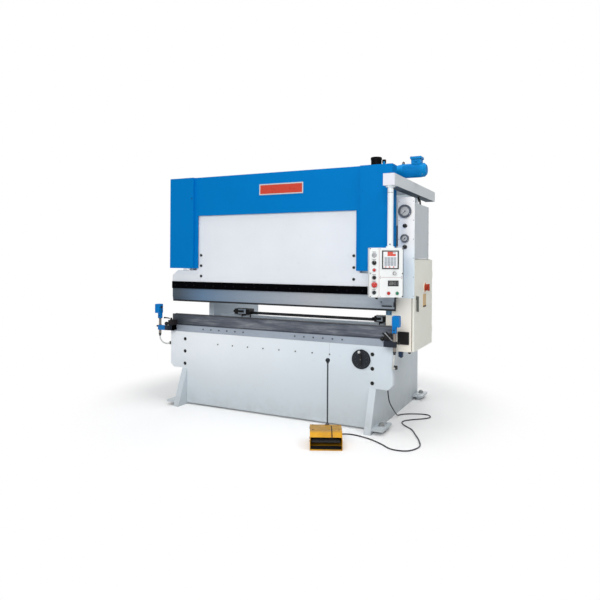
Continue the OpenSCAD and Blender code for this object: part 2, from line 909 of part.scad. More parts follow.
module gauge_panel() {
    corner_x = side_x + panel_w - panel_corner;
    color("white") from_bed() difference() {
        block([side_x, panel_y, panel_bottom], [panel_w, panel_t, panel_top - panel_bottom]);
        difference() {
            block([corner_x, panel_y - 1, panel_top - panel_corner], [50, panel_t + 2, 50]);
            y_bar([corner_x, panel_y - 2, panel_top - panel_corner], panel_corner, panel_t + 4);
        }
        for (z = [upper_knob_z, lower_knob_z]) y_bar([gauge_x, panel_y - 1, z], 6 + touch, panel_t + 2);
    }
}

module gauge_box() {
    w = panel_w - 5;
    color("darkgray") from_bed() difference() {
        union() {
            block([side_x, cabinet_y, gauge_box_z], [w, gauge_box_l, gauge_box_h]);
            block([frame_out, 420, gauge_box_z + 120], [side_x - frame_out + 1, 120, 200]);
        }
        block([side_x + 2, cabinet_y - 1, gauge_box_z + 2], [w - 4, gauge_box_l - 1, gauge_box_h - 4]);
    }
}

// Cup-shaped gauge with a scale disc at its back
module gauge_cup(z, r) {
    difference() {
        y_bar([gauge_x, panel_y - 24, z], r, 24);
        y_bar([gauge_x, panel_y - 25, z], r - 6, 19);
    }
    y_bar([gauge_x, panel_y - 22, z], 2.4, 18);
}

upper_gauge_r = 59;
lower_gauge_r = 37;

module pressure_gauges() {
    color("silver") from_bed() {
        gauge_cup(upper_gauge_z, upper_gauge_r);
        gauge_cup(lower_gauge_z, lower_gauge_r);
    }
}

// Needle that turns on the gauge's spindle
module needle(z, r) {
    color("black") from_bed() translate([gauge_x, panel_y - 12, z]) rotate([0, -135, 0]) difference() {
        union() {
            y_bar([0, 0, 0], 6, 3);
            block([-1.5, 0.5, 0], [3, 2, r - 14]);
        }
        y_bar([0, -1, 0], 2.45, 5);
    }
}

module upper_needle() {
    needle(upper_gauge_z, upper_gauge_r);
}

module lower_needle() {
    needle(lower_gauge_z, lower_gauge_r);
}

module valve_knob(z) {
    color("black") from_bed() {
        y_bar([gauge_x, panel_y - 24, z], 17, 24 - touch);
        y_bar([gauge_x, panel_y - 1, z], 6, panel_t + 8);
    }
}

module upper_valve_knob() {
    valve_knob(upper_knob_z);
}

module lower_valve_knob() {
    valve_knob(lower_knob_z);
}

// ---- Electric cabinet ----

cabinet_top = cabinet_z + cabinet_h;
door_h = cabinet_h - 12;
hinge_levels = [cabinet_z + 120, cabinet_top - 180];
knuckle_h = 50;

// The cabinet stands back from the throat, so that the back gauge stays in sight
relief_w = 56;
relief_l = 200;

module cabinet_shape(inset) {
    difference() {
        block([frame_out + inset, cabinet_y + inset, cabinet_z + inset],
            [cabinet_body_x - frame_out, cabinet_l - 2 * inset, cabinet_h - 2 * inset]);
        block([frame_out - 1, cabinet_y - 1, cabinet_z - 1],
            [relief_w + inset + 1, relief_l + inset + 1, cabinet_h + 2]);
    }
}

module electric_cabinet() {
    wall = 3;
    color("linen") from_bed() {
        difference() {
            cabinet_shape(0);
            cabinet_shape(wall);
        }
        block([side_x + 4, cabinet_y - 12, cabinet_z + 68], [103, 12.5, 114]);
        block([frame_out + 10, cabinet_y + relief_l + 20, cabinet_z + 80],
            [4, cabinet_l - relief_l - 100, cabinet_h - 160]);
        for (z = [cabinet_z + 120, cabinet_top - 160])
            block([frame_out, cabinet_y + 300, z], [12, 40, 40]);
        translate([0, 0, cabinet_z - cord_gland_h]) difference() {
            z_bar([cord_gland[0], cord_gland[1], 0], 11, cord_gland_h);
            z_bar([cord_gland[0], cord_gland[1], -1], cord_d / 2, 3);
        }
        for (z = hinge_levels) {
            z_bar([hinge_x, hinge_y, z - 12], hinge_pin_r, knuckle_h + 24);
            for (dz = [-12 - touch, knuckle_h + touch]) {
                z_bar([hinge_x, hinge_y, z + dz], 8, 12);
                block([cabinet_body_x - 30, cabinet_y + cabinet_l, z + dz], [hinge_x - cabinet_body_x + 30, 14, 12]);
            }
        }
    }
}

isolator_y = 490;
isolator_z = 1300;
isolator_knob_h = 26;
handle_y = 187;
handle_z = 1215;
isolator_stem_r = 6;

module cabinet_door() {
    color("linen") from_bed() difference() {
        union() {
            block([door_x, cabinet_y + 2, cabinet_z + 6], [door_t, cabinet_l - 4, door_h]);
            x_bar([door_x + door_t, isolator_y, isolator_z], 44, 6);
            for (z = hinge_levels) {
                z_bar([hinge_x, hinge_y, z], 8, knuckle_h);
                block([door_x + 2, cabinet_y + cabinet_l - 10, z], [12, 16, knuckle_h]);
            }
        }
        for (z = hinge_levels) z_bar([hinge_x, hinge_y, z - 1], hinge_pin_r + fit, knuckle_h + 2);
        x_bar([door_x + 4, isolator_y, isolator_z], isolator_stem_r + fit, 40);
        x_bar([door_x + 4, handle_y, handle_z], isolator_stem_r + fit, 40);
    }
}

module door_handle() {
    face = door_x + door_t + touch;
    color("black") from_bed() {
        x_bar([door_x + 5, handle_y, handle_z], isolator_stem_r, 30);
        x_bar([face, handle_y, handle_z], 14, 16);
        block([face + 4, handle_y - 9, handle_z - 122], [14, 18, 122]);
    }
}

module isolator_switch() {
    face = door_x + door_t + 6 + touch;
    color("red") from_bed() {
        x_bar([door_x + 5, isolator_y, isolator_z], isolator_stem_r, 30);
        x_bar([face, isolator_y, isolator_z], 30, isolator_knob_h);
        block([face + isolator_knob_h - 1, isolator_y - 9, isolator_z - 28], [14, 18, 56]);
    }
}

// ---- Crowning dial and light guards ----

dial_x = 953;
dial_z = bed_h - 130;
dial_shaft_r = 10;

module crowning_dial() {
    color("black") from_bed() translate([dial_x, 0, dial_z]) {
        y_bar([0, -14 - touch, 0], 89, 14);
        y_bar([0, -2, 0], dial_shaft_r, 36);
        y_bar([-14, -34, 67], 12, 22);
        block([-6, -26, -50], [12, 14, 100]);
    }
}

clamp_w = 46;
left_clamp_x = half_l - 76;
right_clamp_x = half_l - 54;
clamp_stem_y = -60;
clamp_stem_z = bed_h + 81;
stem_hole_r = 6;

// Clamp block, arm, post and stub of one light guard
module guard_bracket(clamp_x, face_x) {
    difference() {
        union() {
            block([clamp_x, -85, guard_arm_z - 5], [clamp_w, 85, table_top - guard_arm_z + 60]);
            block([clamp_x + 10, guard_y, guard_arm_z], [30, -guard_y - 20, guard_arm_h]);
        }
        x_bar([face_x - 18, clamp_stem_y, clamp_stem_z], stem_hole_r + fit, 36);
    }
    block([clamp_x + 10, guard_y - 15, guard_arm_z], [guard_x + 8 - clamp_x, 30, guard_arm_h]);
    z_bar([guard_x, guard_y, guard_arm_z], 11, post_top - guard_arm_z);
    z_bar([guard_x, guard_y, stub_z], 12, guard_arm_z - stub_z);
    x_bar([guard_x + 10, guard_y, guard_arm_z + 38], 7, 32);
}

module guard_brackets() {
    color("royalblue") from_bed() {
        mirror([1, 0, 0]) guard_bracket(left_clamp_x, left_clamp_x + clamp_w);
        guard_bracket(right_clamp_x, right_clamp_x);
    }
}

// Ball knob on a stem, to the left of its clamp
module guard_knob(face_x, reach) {
    color("black") from_bed() {
        translate([face_x - reach, clamp_stem_y, clamp_stem_z]) rotate([0, 0, 180]) sphere(21);
        x_bar([face_x - reach, clamp_stem_y, clamp_stem_z], stem_hole_r, reach + 15);
    }
}

module left_guard_knob() {
    guard_knob(-left_clamp_x - clamp_w, 45);
}

module right_guard_knob() {
    guard_knob(right_clamp_x, 23);
}

module guard_head() {
    neck_w = 34;
    difference() {
        union() {
            block([guard_x - neck_w / 2, guard_y - neck_w / 2, neck_z], [neck_w, neck_w, head_z - neck_z]);
            block([guard_x - head_w / 2 + 17, guard_y - head_w / 2, head_z], [head_w, head_w, head_h]);
        }
        z_bar([guard_x, guard_y, neck_z - 1], 11 + fit, post_top - neck_z + 1 + touch);
    }
}

module left_guard_head() {
    color("dodgerblue") from_bed() mirror([1, 0, 0]) guard_head();
}

module right_guard_head() {
    color("dodgerblue") from_bed() guard_head();
}

hose_r = 8;
hose_sides = 12;

module left_guard_hose() {
    color("lightgray") from_bed() mirror([1, 0, 0]) translate([guard_x, guard_y, stub_z])
        tube(smooth(left_hose_route, 4), hose_r, hose_sides);
}

module right_guard_hose() {
    color("lightgray") from_bed() translate([guard_x, guard_y, stub_z])
        tube(smooth(right_hose_route, 4), hose_r, hose_sides);
}

// ---- Back gauge ----

module back_gauge_rails() {
    color("gray") from_bed() both_sides()
        block([gauge_rail_x - 20, plate_t, bed_h - gauge_rail_h], [40, tie_y - plate_t, gauge_rail_h]);
}

// Stop of the back gauge on its post
module gauge_stop(x, half) {
    block([x - half, gauge_y - 60, bed_h + 163], [2 * half, 110, 60]);
    block([x - 20, gauge_y - 10, bed_h + 145], [40, 30, 25]);
}

module back_gauge_beam() {
    beam_half = frame_in - 50;
    color("gainsboro") from_bed() {
        block([-beam_half, gauge_y, bed_h + 30], [2 * beam_half, 80, 120]);
        block([left_stop_x, gauge_y + 5, bed_h + 165], [right_stop_x - left_stop_x, 24, 28]);
        both_sides() block([gauge_rail_x - 30, gauge_y - 30, bed_h + touch], [60, 150, 30]);
        gauge_stop(left_stop_x, 95);
        gauge_stop(right_stop_x, 55);
    }
}

// ---- Foot pedal ----

module at_pedal() {
    from_bed() translate([pedal_x, pedal_y, 0]) rotate([0, 0, pedal_turn]) children();
}

pedal_wall = 5;
pedal_floor = 10;
treadle_y = pedal_l / 2 - 50;
treadle_z = 34;
foot_opening_h = pedal_h - 50;

// Drawing of the hood from the side, in the YZ plane
module hood_side(inset) {
    front = -pedal_l / 2 + inset;
    back = pedal_l / 2 - inset;
    polygon([
        [front, 0], [back, 0], [back, pedal_h - 40 - inset], [back - 40, pedal_h - inset],
        [front + 70, pedal_h - inset], [front, pedal_h - 50 - inset]
    ]);
}

module pedal_guard() {
    color("gold") at_pedal() {
        difference() {
            along_x(-pedal_w / 2, pedal_w) hood_side(0);
            difference() {
                along_x(-pedal_w / 2 + pedal_wall, pedal_w - 2 * pedal_wall) hood_side(pedal_wall);
                block([-pedal_w, -pedal_l, -1], [2 * pedal_w, 2 * pedal_l, pedal_floor + 1]);
            }
            block([-pedal_w / 2 + pedal_wall, -pedal_l, pedal_floor],
                [pedal_w - 2 * pedal_wall, pedal_l * 0.7, foot_opening_h]);
            x_bar([-pedal_w, treadle_y, treadle_z], 5 + fit, 2 * pedal_w);
            y_bar([0, pedal_l / 2 - 20, 30], cord_d / 2 + 4, 40);
        }
        difference() {
            y_bar([0, pedal_l / 2 - pedal_wall, 30], cord_d / 2 + 4, 18);
            y_bar([0, pedal_l / 2 - 20, 30], cord_d / 2, 60);
        }
        z_bar([rod_x, rod_y, pedal_h - pedal_wall], 6, rod_h - 20);
        translate([rod_x, rod_y, pedal_h - pedal_wall + rod_h - 18]) sphere(19);
        z_bar([rod_x, rod_y, pedal_h - 1], 14, 16);
    }
}

module pedal_treadle() {
    side = 14;
    color("black") at_pedal() {
        x_bar([-pedal_w / 2, treadle_y, treadle_z], 5, pedal_w);
        difference() {
            translate([0, treadle_y, treadle_z]) rotate([-8, 0, 0])
                block([-pedal_w / 2 + side, -190, -6], [pedal_w - 2 * side, 200, 12]);
            x_bar([-pedal_w, treadle_y, treadle_z], 4, 2 * pedal_w);
        }
    }
}

module pedal_cord() {
    color("dimgray") from_bed() tube(smooth(cord_route, 2), cord_d / 2, 8);
}

side_frames();
levelling_feet();
cross_ties();
bed_plate();
bed_fasteners();
die_table();
die();
ram_guides();
ram_plate();
ram_bolts();
punch_clamp();
punch();
piston_rods();
cylinder_barrels();
front_cover();
cylinder_housings();
nameplate();
hydraulic_tank();
tank_lid();
filler_cap();
pump();
motor_case();
motor_rotor();
pipework();
support_arm();
pendant_pole();
pendant_case();
pendant_display();
key_selector();
mode_selector();
left_upper_button();
left_lower_button();
emergency_stop();
speed_knob();
stop_button();
start_button();
gauge_panel();
gauge_box();
pressure_gauges();
upper_needle();
lower_needle();
upper_valve_knob();
lower_valve_knob();
electric_cabinet();
cabinet_door();
door_handle();
isolator_switch();
crowning_dial();
guard_brackets();
left_guard_head();
right_guard_head();
left_guard_knob();
right_guard_knob();
left_guard_hose();
right_guard_hose();
back_gauge_rails();
back_gauge_beam();
pedal_guard();
pedal_treadle();
pedal_cord();
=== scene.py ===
"""Looks of the hydraulic press brake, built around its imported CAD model."""
import math
from itertools import product

import bmesh
import bpy
from mathutils import Matrix, Vector


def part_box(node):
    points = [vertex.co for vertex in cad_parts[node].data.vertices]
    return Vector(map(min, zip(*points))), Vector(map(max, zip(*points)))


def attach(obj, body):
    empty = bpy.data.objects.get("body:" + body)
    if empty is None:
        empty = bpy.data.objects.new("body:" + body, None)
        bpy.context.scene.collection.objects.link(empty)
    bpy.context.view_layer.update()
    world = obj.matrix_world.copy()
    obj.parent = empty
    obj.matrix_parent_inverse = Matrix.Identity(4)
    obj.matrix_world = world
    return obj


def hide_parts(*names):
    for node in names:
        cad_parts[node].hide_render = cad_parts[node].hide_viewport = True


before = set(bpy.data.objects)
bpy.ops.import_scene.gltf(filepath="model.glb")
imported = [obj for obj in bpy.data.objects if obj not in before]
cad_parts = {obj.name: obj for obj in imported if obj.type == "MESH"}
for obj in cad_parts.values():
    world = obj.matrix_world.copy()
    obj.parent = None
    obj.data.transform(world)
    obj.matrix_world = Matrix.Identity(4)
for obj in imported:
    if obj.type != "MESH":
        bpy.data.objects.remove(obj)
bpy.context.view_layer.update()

scene = bpy.context.scene
BED_FACE_Y = -0.720


def at(x, y, z):
    """A point in metres from millimetres, with y measured from the bed's front face."""
    return Vector((x / 1000, y / 1000 + BED_FACE_Y, z / 1000))


def box_of(node):
    """A CAD node's box in the same millimetres as at()."""
    lo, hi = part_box(node)
    shift = Vector((0, BED_FACE_Y, 0))
    return (lo - shift) * 1000, (hi - shift) * 1000


def add(name, data):
    thing = bpy.data.objects.new(name, data)
    scene.collection.objects.link(thing)
    return thing


# ---- Camera ----

PICTURE = 600
FOCAL = 561.45
DROP = -40.38
CAMERA_PLACE = (2.724, -5.6148, 1.559)


def make_camera():
    """The photograph's camera: level, so that uprights stay upright, with the lens shifted down."""
    yaw, roll = math.radians(26.19), math.radians(0.35)
    ahead = Vector((-math.sin(yaw), math.cos(yaw), 0))
    level = Vector((math.cos(yaw), math.sin(yaw), 0))
    right = level * math.cos(roll) + Vector((0, 0, 1)) * math.sin(roll)
    up = right.cross(ahead)
    data = bpy.data.cameras.new("camera")
    data.sensor_width = 36
    data.lens = 36 * FOCAL / PICTURE
    data.shift_y = DROP / PICTURE
    data.clip_end = 200
    scene.camera = add("camera", data)
    turn = Matrix((right, up, -ahead)).transposed().to_4x4()
    scene.camera.matrix_world = Matrix.Translation(CAMERA_PLACE) @ turn


make_camera()


# ---- Materials ----

def srgb(rgb, k=1.0):
    """Linear colour from 0 to 255 display values, made k times brighter."""
    linear = (c / 12.92 if c <= 0.04045 else ((c + 0.055) / 1.055) ** 2.4 for c in (v / 255 for v in rgb))
    return tuple(min(1, c * k) for c in linear) + (1,)


class Nodes:
    """Short calls for the nodes of a material or world. Colours are display values or srgb()'s result."""

    def __init__(self, tree):
        self.tree = tree

    def node(self, kind, *inputs, **props):
        """Adds a node, and sets its inputs from (name or number, value or output)."""
        n = self.tree.nodes.new("ShaderNode" + kind)
        for k, v in props.items():
            setattr(n, k, v)
        for k, v in inputs:
            self.put(n.inputs[k], v)
        return n

    def put(self, socket, v):
        if isinstance(v, bpy.types.NodeSocket):
            self.tree.links.new(v, socket)
        elif isinstance(v, tuple) and socket.type == "RGBA" and len(v) == 3:
            socket.default_value = srgb(v)
        else:
            socket.default_value = v

    def find(self, kind):
        return next(n for n in self.tree.nodes if n.type == kind)

    def span(self, fac, lo, hi, out_lo=0.0, out_hi=1.0, smooth=False):
        return self.node("MapRange", ("From Min", lo), ("From Max", hi), ("To Min", out_lo), ("To Max", out_hi),
                         ("Value", fac), interpolation_type="SMOOTHSTEP" if smooth else "LINEAR").outputs[0]

    def math(self, op, a, b):
        return self.node("Math", (0, a), (1, b), operation=op).outputs[0]

    def mix(self, fac, a, b):
        return self.node("Mix", (0, fac), (6, a), (7, b), data_type="RGBA").outputs[2]

    def seen(self):
        """1 for what the camera sees directly or in gloss and glass."""
        rays = self.node("LightPath").outputs
        direct = self.math("MAXIMUM", rays["Is Camera Ray"], rays["Is Glossy Ray"])
        return self.math("MAXIMUM", direct, rays["Is Transmission Ray"])


class Shader(Nodes):
    """A new material, with its textures in the object's own frame."""

    def __init__(self, name, rough, spec=0.5, metallic=0.0):
        self.mat = bpy.data.materials.new(name)
        self.mat.use_nodes = True
        super().__init__(self.mat.node_tree)
        self.bsdf = self.find("BSDF_PRINCIPLED")
        self.set(("Roughness", rough), ("Specular IOR Level", spec), ("Metallic", metallic))
        self.coord = self.node("TexCoord").outputs["Object"]

    def set(self, *inputs):
        for k, v in inputs:
            self.put(self.bsdf.inputs[k], v)

    def stretched(self, scale, tilt=0):
        return self.node("Mapping", ("Scale", scale), ("Rotation", (0, math.radians(tilt), 0)),
                         ("Vector", self.coord)).outputs[0]

    def noise(self, scale, detail, rough=0.5, vector=None, distortion=0):
        return self.node("TexNoise", ("Scale", scale), ("Detail", detail), ("Roughness", rough),
                         ("Distortion", distortion), ("Vector", vector or self.coord)).outputs["Fac"]

    def along(self, axis, lo, hi, out_lo=0.0, out_hi=1.0, smooth=False):
        """A number that changes from lo to hi along an axis, in metres."""
        place = self.node("SeparateXYZ", (0, self.coord)).outputs["XYZ".index(axis)]
        return self.span(place, lo, hi, out_lo, out_hi, smooth)

    def ramp(self, fac, *stops):
        """Colours at places from 0 to 1."""
        n = self.node("ValToRGB", (0, fac))
        places = n.color_ramp.elements
        for i, (place, color) in enumerate(stops):
            el = places[i] if i < 2 else places.new(place)
            el.position = place
            el.color = color if len(color) == 4 else srgb(color)
        return n.outputs[0]

    def finish(self, color, rough, height, strength, distance=0.0004):
        bump = self.node("Bump", ("Strength", strength), ("Distance", distance), ("Height", height))
        self.set(("Base Color", color), ("Roughness", rough), ("Normal", bump.outputs[0]))
        return self.mat

    def sprayed(self, color, rough, peel):
        """Finishes a paint, with faint gloss changes and orange peel."""
        gloss = self.span(self.noise(14, 3), 0.3, 0.7, rough - 0.05, rough + 0.09)
        return self.finish(color, gloss, self.noise(420, 2), peel, 0.0006)


def paint(name, color, rough, spec=0.35, peel=0.25, coat=0.0, painted_low_shade=None, mottle=0.05, dust=0.5, side=None):
    """Sprayed machine paint: orange peel, faint clouds, dust towards the floor, and, where given, painted shade that
    darkens it towards the floor and towards +X.
    """
    s = Shader(name, rough, spec)
    s.set(("Coat Weight", coat), ("Coat Roughness", 0.15))
    body = s.ramp(s.noise(1.3, 4, 0.55), (0.3, srgb(color, 1 - mottle)), (0.7, srgb(color, 1 + mottle * 0.4)))
    body = s.mix(s.span(s.noise(60, 3, 0.6), 0.45, 0.75, 0, 0.06), body, srgb(color, 0.8))
    # painted shade: where a side colour is given, the paint darkens towards +X, where less light falls
    if side:
        body = s.mix(s.along("X", -0.9, 1.15, smooth=True), body, side)
    # painted shade: where a low colour is given, the paint darkens towards the floor, where less light falls
    if painted_low_shade:
        body = s.mix(s.along("Z", 0.75, 0.0, smooth=True), body, painted_low_shade)
    grime = s.math("MULTIPLY", s.along("Z", 0.22, 0.0, 0, dust), s.span(s.noise(9, 6, 0.65), 0.35, 0.75))
    return s.sprayed(s.mix(grime, body, (120, 116, 108)), rough, peel)


def metal(name, color, rough, grain, grain_scale, streak, metallic=0.9, share=0.55, tone=None, edges=()):
    """Machined or ground steel with grain along one axis, cloudy tone, painted reflection and shade in bands along X
    where given, and, for a tool, dark edges.
    """
    s = Shader(name, rough, metallic=metallic)
    lines = s.noise(grain_scale, 4, 0.65, s.stretched(grain))
    body = s.mix(s.span(s.noise(2.2, 4, 0.6), 0.3, 0.7), srgb(color, 0.86), srgb(color, 1.08))
    # painted reflection and shade: where given, bands of light and dark along X stand in for what the steel reflects
    # and where it lies in shade
    if tone:
        body = s.mix(share, body, s.ramp(s.along("X", -1.27, 1.27), *tone))
    body = s.mix(s.span(lines, 0.3, 0.75, 0, streak), body, srgb(color, 0.55))
    for axis, lo, hi in edges:
        body = s.mix(s.along(axis, lo, hi), body, (22, 26, 32))
    return s.finish(body, s.span(lines, 0.3, 0.7, rough - 0.08, rough + 0.12), lines, 0.12)


def plastic(name, color, rough, spec=0.5, grain=900, bump=0.1):
    """Moulded plastic or rubber, a little worn."""
    s = Shader(name, rough, spec)
    wear = s.noise(25, 4, 0.6)
    body = s.mix(s.span(wear, 0.4, 0.8, 0, 0.25), srgb(color), srgb(color, 1.6))
    return s.finish(body, s.span(wear, 0.3, 0.7, rough - 0.06, rough + 0.12), s.noise(grain, 2), bump)


def glass(name):
    s = Shader(name, 0.04)
    s.set(("Base Color", s.mix(s.span(s.noise(30, 3), 0.4, 0.9, 0, 0.2), (0.95, 0.97, 1, 1), (0.6, 0.62, 0.64, 1))),
          ("Alpha", 0.12), ("Roughness", s.span(s.noise(18, 4), 0.4, 0.8, 0.03, 0.12)))
    return s.mat


def two_tone(name, axis, place, blend, below, above, spec=0.2):
    """Sprayed paint that changes tone at a place along an axis."""
    rough = 0.45
    s = Shader(name, rough, spec)
    body = s.mix(s.along(axis, place - blend, place + blend, smooth=True), below, above)
    body = s.mix(s.span(s.noise(1.6, 4, 0.55), 0.35, 0.75, 0, 0.07), body, (120, 124, 130))
    return s.sprayed(body, rough, 0.35)


def die_material():
    """Hardened steel with slanting grinding marks, a dark left end, a darker top edge, and painted shade along the
    bottom, where the die meets the table.
    """
    s = Shader("die_steel", 0.42, metallic=0.35)
    marks = s.noise(7, 5, 0.6, s.stretched((0.42, 1, 3.2), -14), 0.4)
    fine = s.noise(48, 4, 0.6, s.stretched((0.3, 1, 3.0), -14))
    body = s.ramp(marks, (0.34, (66, 72, 83)), (0.5, (92, 98, 109)), (0.63, (124, 128, 136)), (0.76, (158, 158, 160)))
    body = s.mix(s.span(fine, 0.4, 0.7, 0, 0.4), body, (56, 60, 69))
    body = s.mix(s.along("X", -1.25, -0.7, 0.75, 0, True), body, (46, 52, 60))
    body = s.mix(s.along("Z", 0.949, 0.952, 0, 0.75), body, (30, 32, 36))
    # painted shade: the die's bottom darkens where it meets the table
    body = s.mix(s.along("Z", 0.86, 0.845, 0, 0.6), body, (34, 36, 42))
    return s.finish(body, s.span(marks, 0.3, 0.7, 0.36, 0.52), fine, 0.12)


def pedal_material():
    """Yellow enamel, worn and dusty on the hood's top and towards the floor."""
    s = Shader("pedal_enamel", 0.42, 0.25)
    body = s.ramp(s.noise(7, 5, 0.6), (0.3, (196, 138, 6)), (0.7, (224, 166, 14)))
    worn = s.math("MULTIPLY", s.along("Z", 0.128, 0.142, 0, 0.6, True), s.span(s.noise(24, 5, 0.6), 0.25, 0.5))
    body = s.mix(worn, body, (140, 116, 74))
    dusty = s.math("MULTIPLY", s.along("Z", 0.05, 0.0, 0, 0.55), s.span(s.noise(30, 5, 0.6), 0.35, 0.7))
    body = s.mix(dusty, body, (120, 104, 78))
    return s.finish(body, s.span(s.noise(30, 4), 0.3, 0.7, 0.36, 0.56), s.noise(420, 2), 0.4, 0.0006)


# painted shade: frame_paint and plate_paint darken to their low colour towards the floor
frame_paint = paint("frame_paint", (212, 223, 231), 0.4, painted_low_shade=(198, 207, 213), dust=0.4)
plate_paint = paint("plate_paint", (232, 237, 244), 0.32, 0.3, painted_low_shade=(206, 215, 220), coat=0.1, dust=0.25)
# painted light and shade: the bed's paint is a brighter copy of the ram plate's paint, lit up where the bed lies in
# shade, and it darkens towards the floor and towards +X
bed_paint_with_painted_light = paint("bed_paint_with_painted_light", (241, 247, 252), 0.32, 0.3, painted_low_shade=(204, 214, 220), coat=0.1, dust=0.25,
                  side=(218, 229, 238))
cover_blue = paint("cover_blue", (0, 121, 196), 0.5, 0.04, mottle=0.03)
motor_blue = paint("motor_blue", (4, 136, 206), 0.45, 0.1, 0.5, mottle=0.08)
guard_blue = paint("guard_blue", (2, 122, 200), 0.45, 0.12, 0.3)
navy_paint = paint("navy_paint", (26, 52, 98), 0.5, 0.15, 0.3)
bracket_dark = paint("bracket_dark", (38, 34, 36), 0.5, 0.15, 0.4)
door_cream = paint("door_cream", (243, 244, 234), 0.5, 0.25, 0.6)
# painted shade: the gauge box's sides get a greyer copy of the white gauge panel's paint
box_grey = paint("box_grey", (196, 204, 210), 0.45, 0.25)
pole_paint = paint("pole_paint", (236, 243, 248), 0.35, 0.3)
# painted light and shade: the two arm paints below are shaded and lit copies of one paint, the shaded one on the arm's
# sides, the lit one on its front
arm_shaded_grey = paint("arm_shaded_grey", (208, 215, 220), 0.4, 0.25)
arm_lit_white = paint("arm_lit_white", (228, 228, 238), 0.35, 0.3)
pendant_white = paint("pendant_white", (240, 243, 243), 0.42, 0.25, 0.35)
yellow_paint = paint("yellow_paint", (220, 158, 12), 0.42, 0.22, 0.5, mottle=0.2, dust=0.5)
red_enamel = paint("red_enamel", (200, 58, 34), 0.3, 0.3, coat=0.3, mottle=0.08)
# painted shade: dark grey for the arm's underside, where shade falls
arm_underside_shade = paint("arm_underside_shade", (84, 96, 108), 0.6, 0.1)
# painted shade: blue-grey for a plate put where the frame's throat edge lies in shade under the punch
throat_shade_blue = paint("throat_shade_blue", (96, 136, 166), 0.45, 0.2)
black_paint = paint("black_paint", (5, 5, 8), 0.55, 0.008, 0.3)
rod_dark = paint("rod_dark", (66, 72, 80), 0.4, 0.25, 0.2)
# painted reflection and shade: the punch's bands along X, dark at the ends and pale in the middle
punch_edge_steel = metal(
    "punch_edge_steel", (128, 145, 163), 0.4, (0.25, 1, 1), 60, 0.12, 0.25, share=0.9, tone=(
        (0.0, (40, 54, 66)), (0.04, (54, 68, 82)), (0.16, (90, 122, 154)), (0.3, (124, 142, 162)),
        (0.5, (156, 166, 178)), (0.68, (180, 182, 188)), (0.8, (172, 180, 188)), (1.0, (160, 172, 184))),
    edges=(("Z", 1.117, 1.114), ("X", 1.2495, 1.2505)))
table_steel = metal("table_steel", (158, 168, 182), 0.42, (0.3, 1, 1), 80, 0.15, 0.4)
bare_steel = metal("bare_steel", (172, 174, 178), 0.34, (1, 1, 1), 120, 0.2)
post_steel = metal("post_steel", (136, 128, 122), 0.4, (1, 1, 0.3), 90, 0.3, 0.7)
chrome = metal("chrome", (214, 217, 222), 0.16, (1, 1, 0.1), 200, 0.08, 1.0)
zinc = metal("zinc", (158, 160, 160), 0.45, (1, 1, 1), 60, 0.25)
dull_zinc = metal("dull_zinc", (104, 106, 110), 0.5, (1, 1, 1), 60, 0.25, 0.6)
silver = metal("silver", (206, 206, 206), 0.3, (1, 1, 8), 120, 0.15, 0.6)
bezel_grey = metal("bezel_grey", (84, 90, 101), 0.32, (1, 1, 1), 90, 0.2, 0.8)
brass_strip = metal("brass_strip", (196, 164, 112), 0.42, (1, 1, 0.2), 160, 0.25, 0.5)
black_steel = metal("black_steel", (18, 18, 21), 0.5, (0.3, 1, 1), 70, 0.3, 0.3)
black_plastic = plastic("black_plastic", (14, 14, 16), 0.45, 0.3)
cap_black = plastic("cap_black", (8, 8, 10), 0.5, 0.06)
dial_black = plastic("dial_black", (36, 40, 46), 0.5, 0.15)
handle_dark = plastic("handle_dark", (88, 90, 86), 0.42, 0.3)
grey_plastic = plastic("grey_plastic", (120, 122, 124), 0.42)
dark_plastic = plastic("dark_plastic", (44, 49, 55), 0.5, 0.3)
navy_plastic = plastic("navy_plastic", (40, 58, 84), 0.5, 0.25)
red_plastic = plastic("red_plastic", (186, 38, 32), 0.32)
switch_red = plastic("switch_red", (164, 58, 38), 0.45, 0.15)
rating_tan = plastic("rating_tan", (206, 170, 112), 0.5, 0.25)
hole_grey = plastic("hole_grey", (98, 104, 112), 0.5, 0.2)
clamp_grey = plastic("clamp_grey", (26, 28, 33), 0.5, 0.1)
green_plastic = plastic("green_plastic", (10, 118, 82), 0.28)
white_mark = plastic("white_mark", (232, 232, 228), 0.5)
mark_grey = plastic("mark_grey", (96, 101, 108), 0.5)
dial_white = plastic("dial_white", (226, 224, 218), 0.4, 0.3)
pale_plate = plastic("pale_plate", (236, 222, 190), 0.45)
ring_orange = plastic("ring_orange", (226, 148, 96), 0.45)
screen_glow = plastic("screen_glow", (238, 240, 242), 0.25, 0.5, 300)
screen_red = plastic("screen_red", (206, 66, 42), 0.3)
screen_grey = plastic("screen_grey", (172, 180, 188), 0.3)
digit_grey = plastic("digit_grey", (140, 140, 136), 0.4)
seam_dark = plastic("seam_dark", (30, 31, 34), 0.6, 0.15)
seam_rose = plastic("seam_rose", (188, 158, 160), 0.55, 0.2)
seam_grey = plastic("seam_grey", (148, 152, 156), 0.55, 0.2)
hose_rubber = plastic("hose_rubber", (206, 208, 205), 0.55, 0.3, 500)
hose_black = plastic("hose_black", (30, 30, 32), 0.5, 0.3, 500)
cord_rubber = plastic("cord_rubber", (44, 47, 52), 0.5, 0.3, 700)
gasket = plastic("gasket", (126, 104, 82), 0.7, 0.15)
red_lens = plastic("red_lens", (188, 34, 28), 0.12)
lens_dark = plastic("lens_dark", (30, 16, 26), 0.08, 0.5, 200, 0.02)
sight_glass = plastic("sight_glass", (198, 158, 60), 0.08, 0.5, 200, 0.02)
gauge_glass = glass("gauge_glass")
die_steel = die_material()
pedal_enamel = pedal_material()
bracket_pair = two_tone("bracket_pair", "X", -1.228, 0.004, (10, 112, 184), (26, 32, 44))
panel_tint = two_tone("panel_tint", "Z", 1.62, 0.2, (234, 247, 255), (252, 252, 253), 0.25)
front_cream = two_tone("front_cream", "Z", 1.0, 0.6, (252, 245, 232), (252, 251, 244), 0.25)

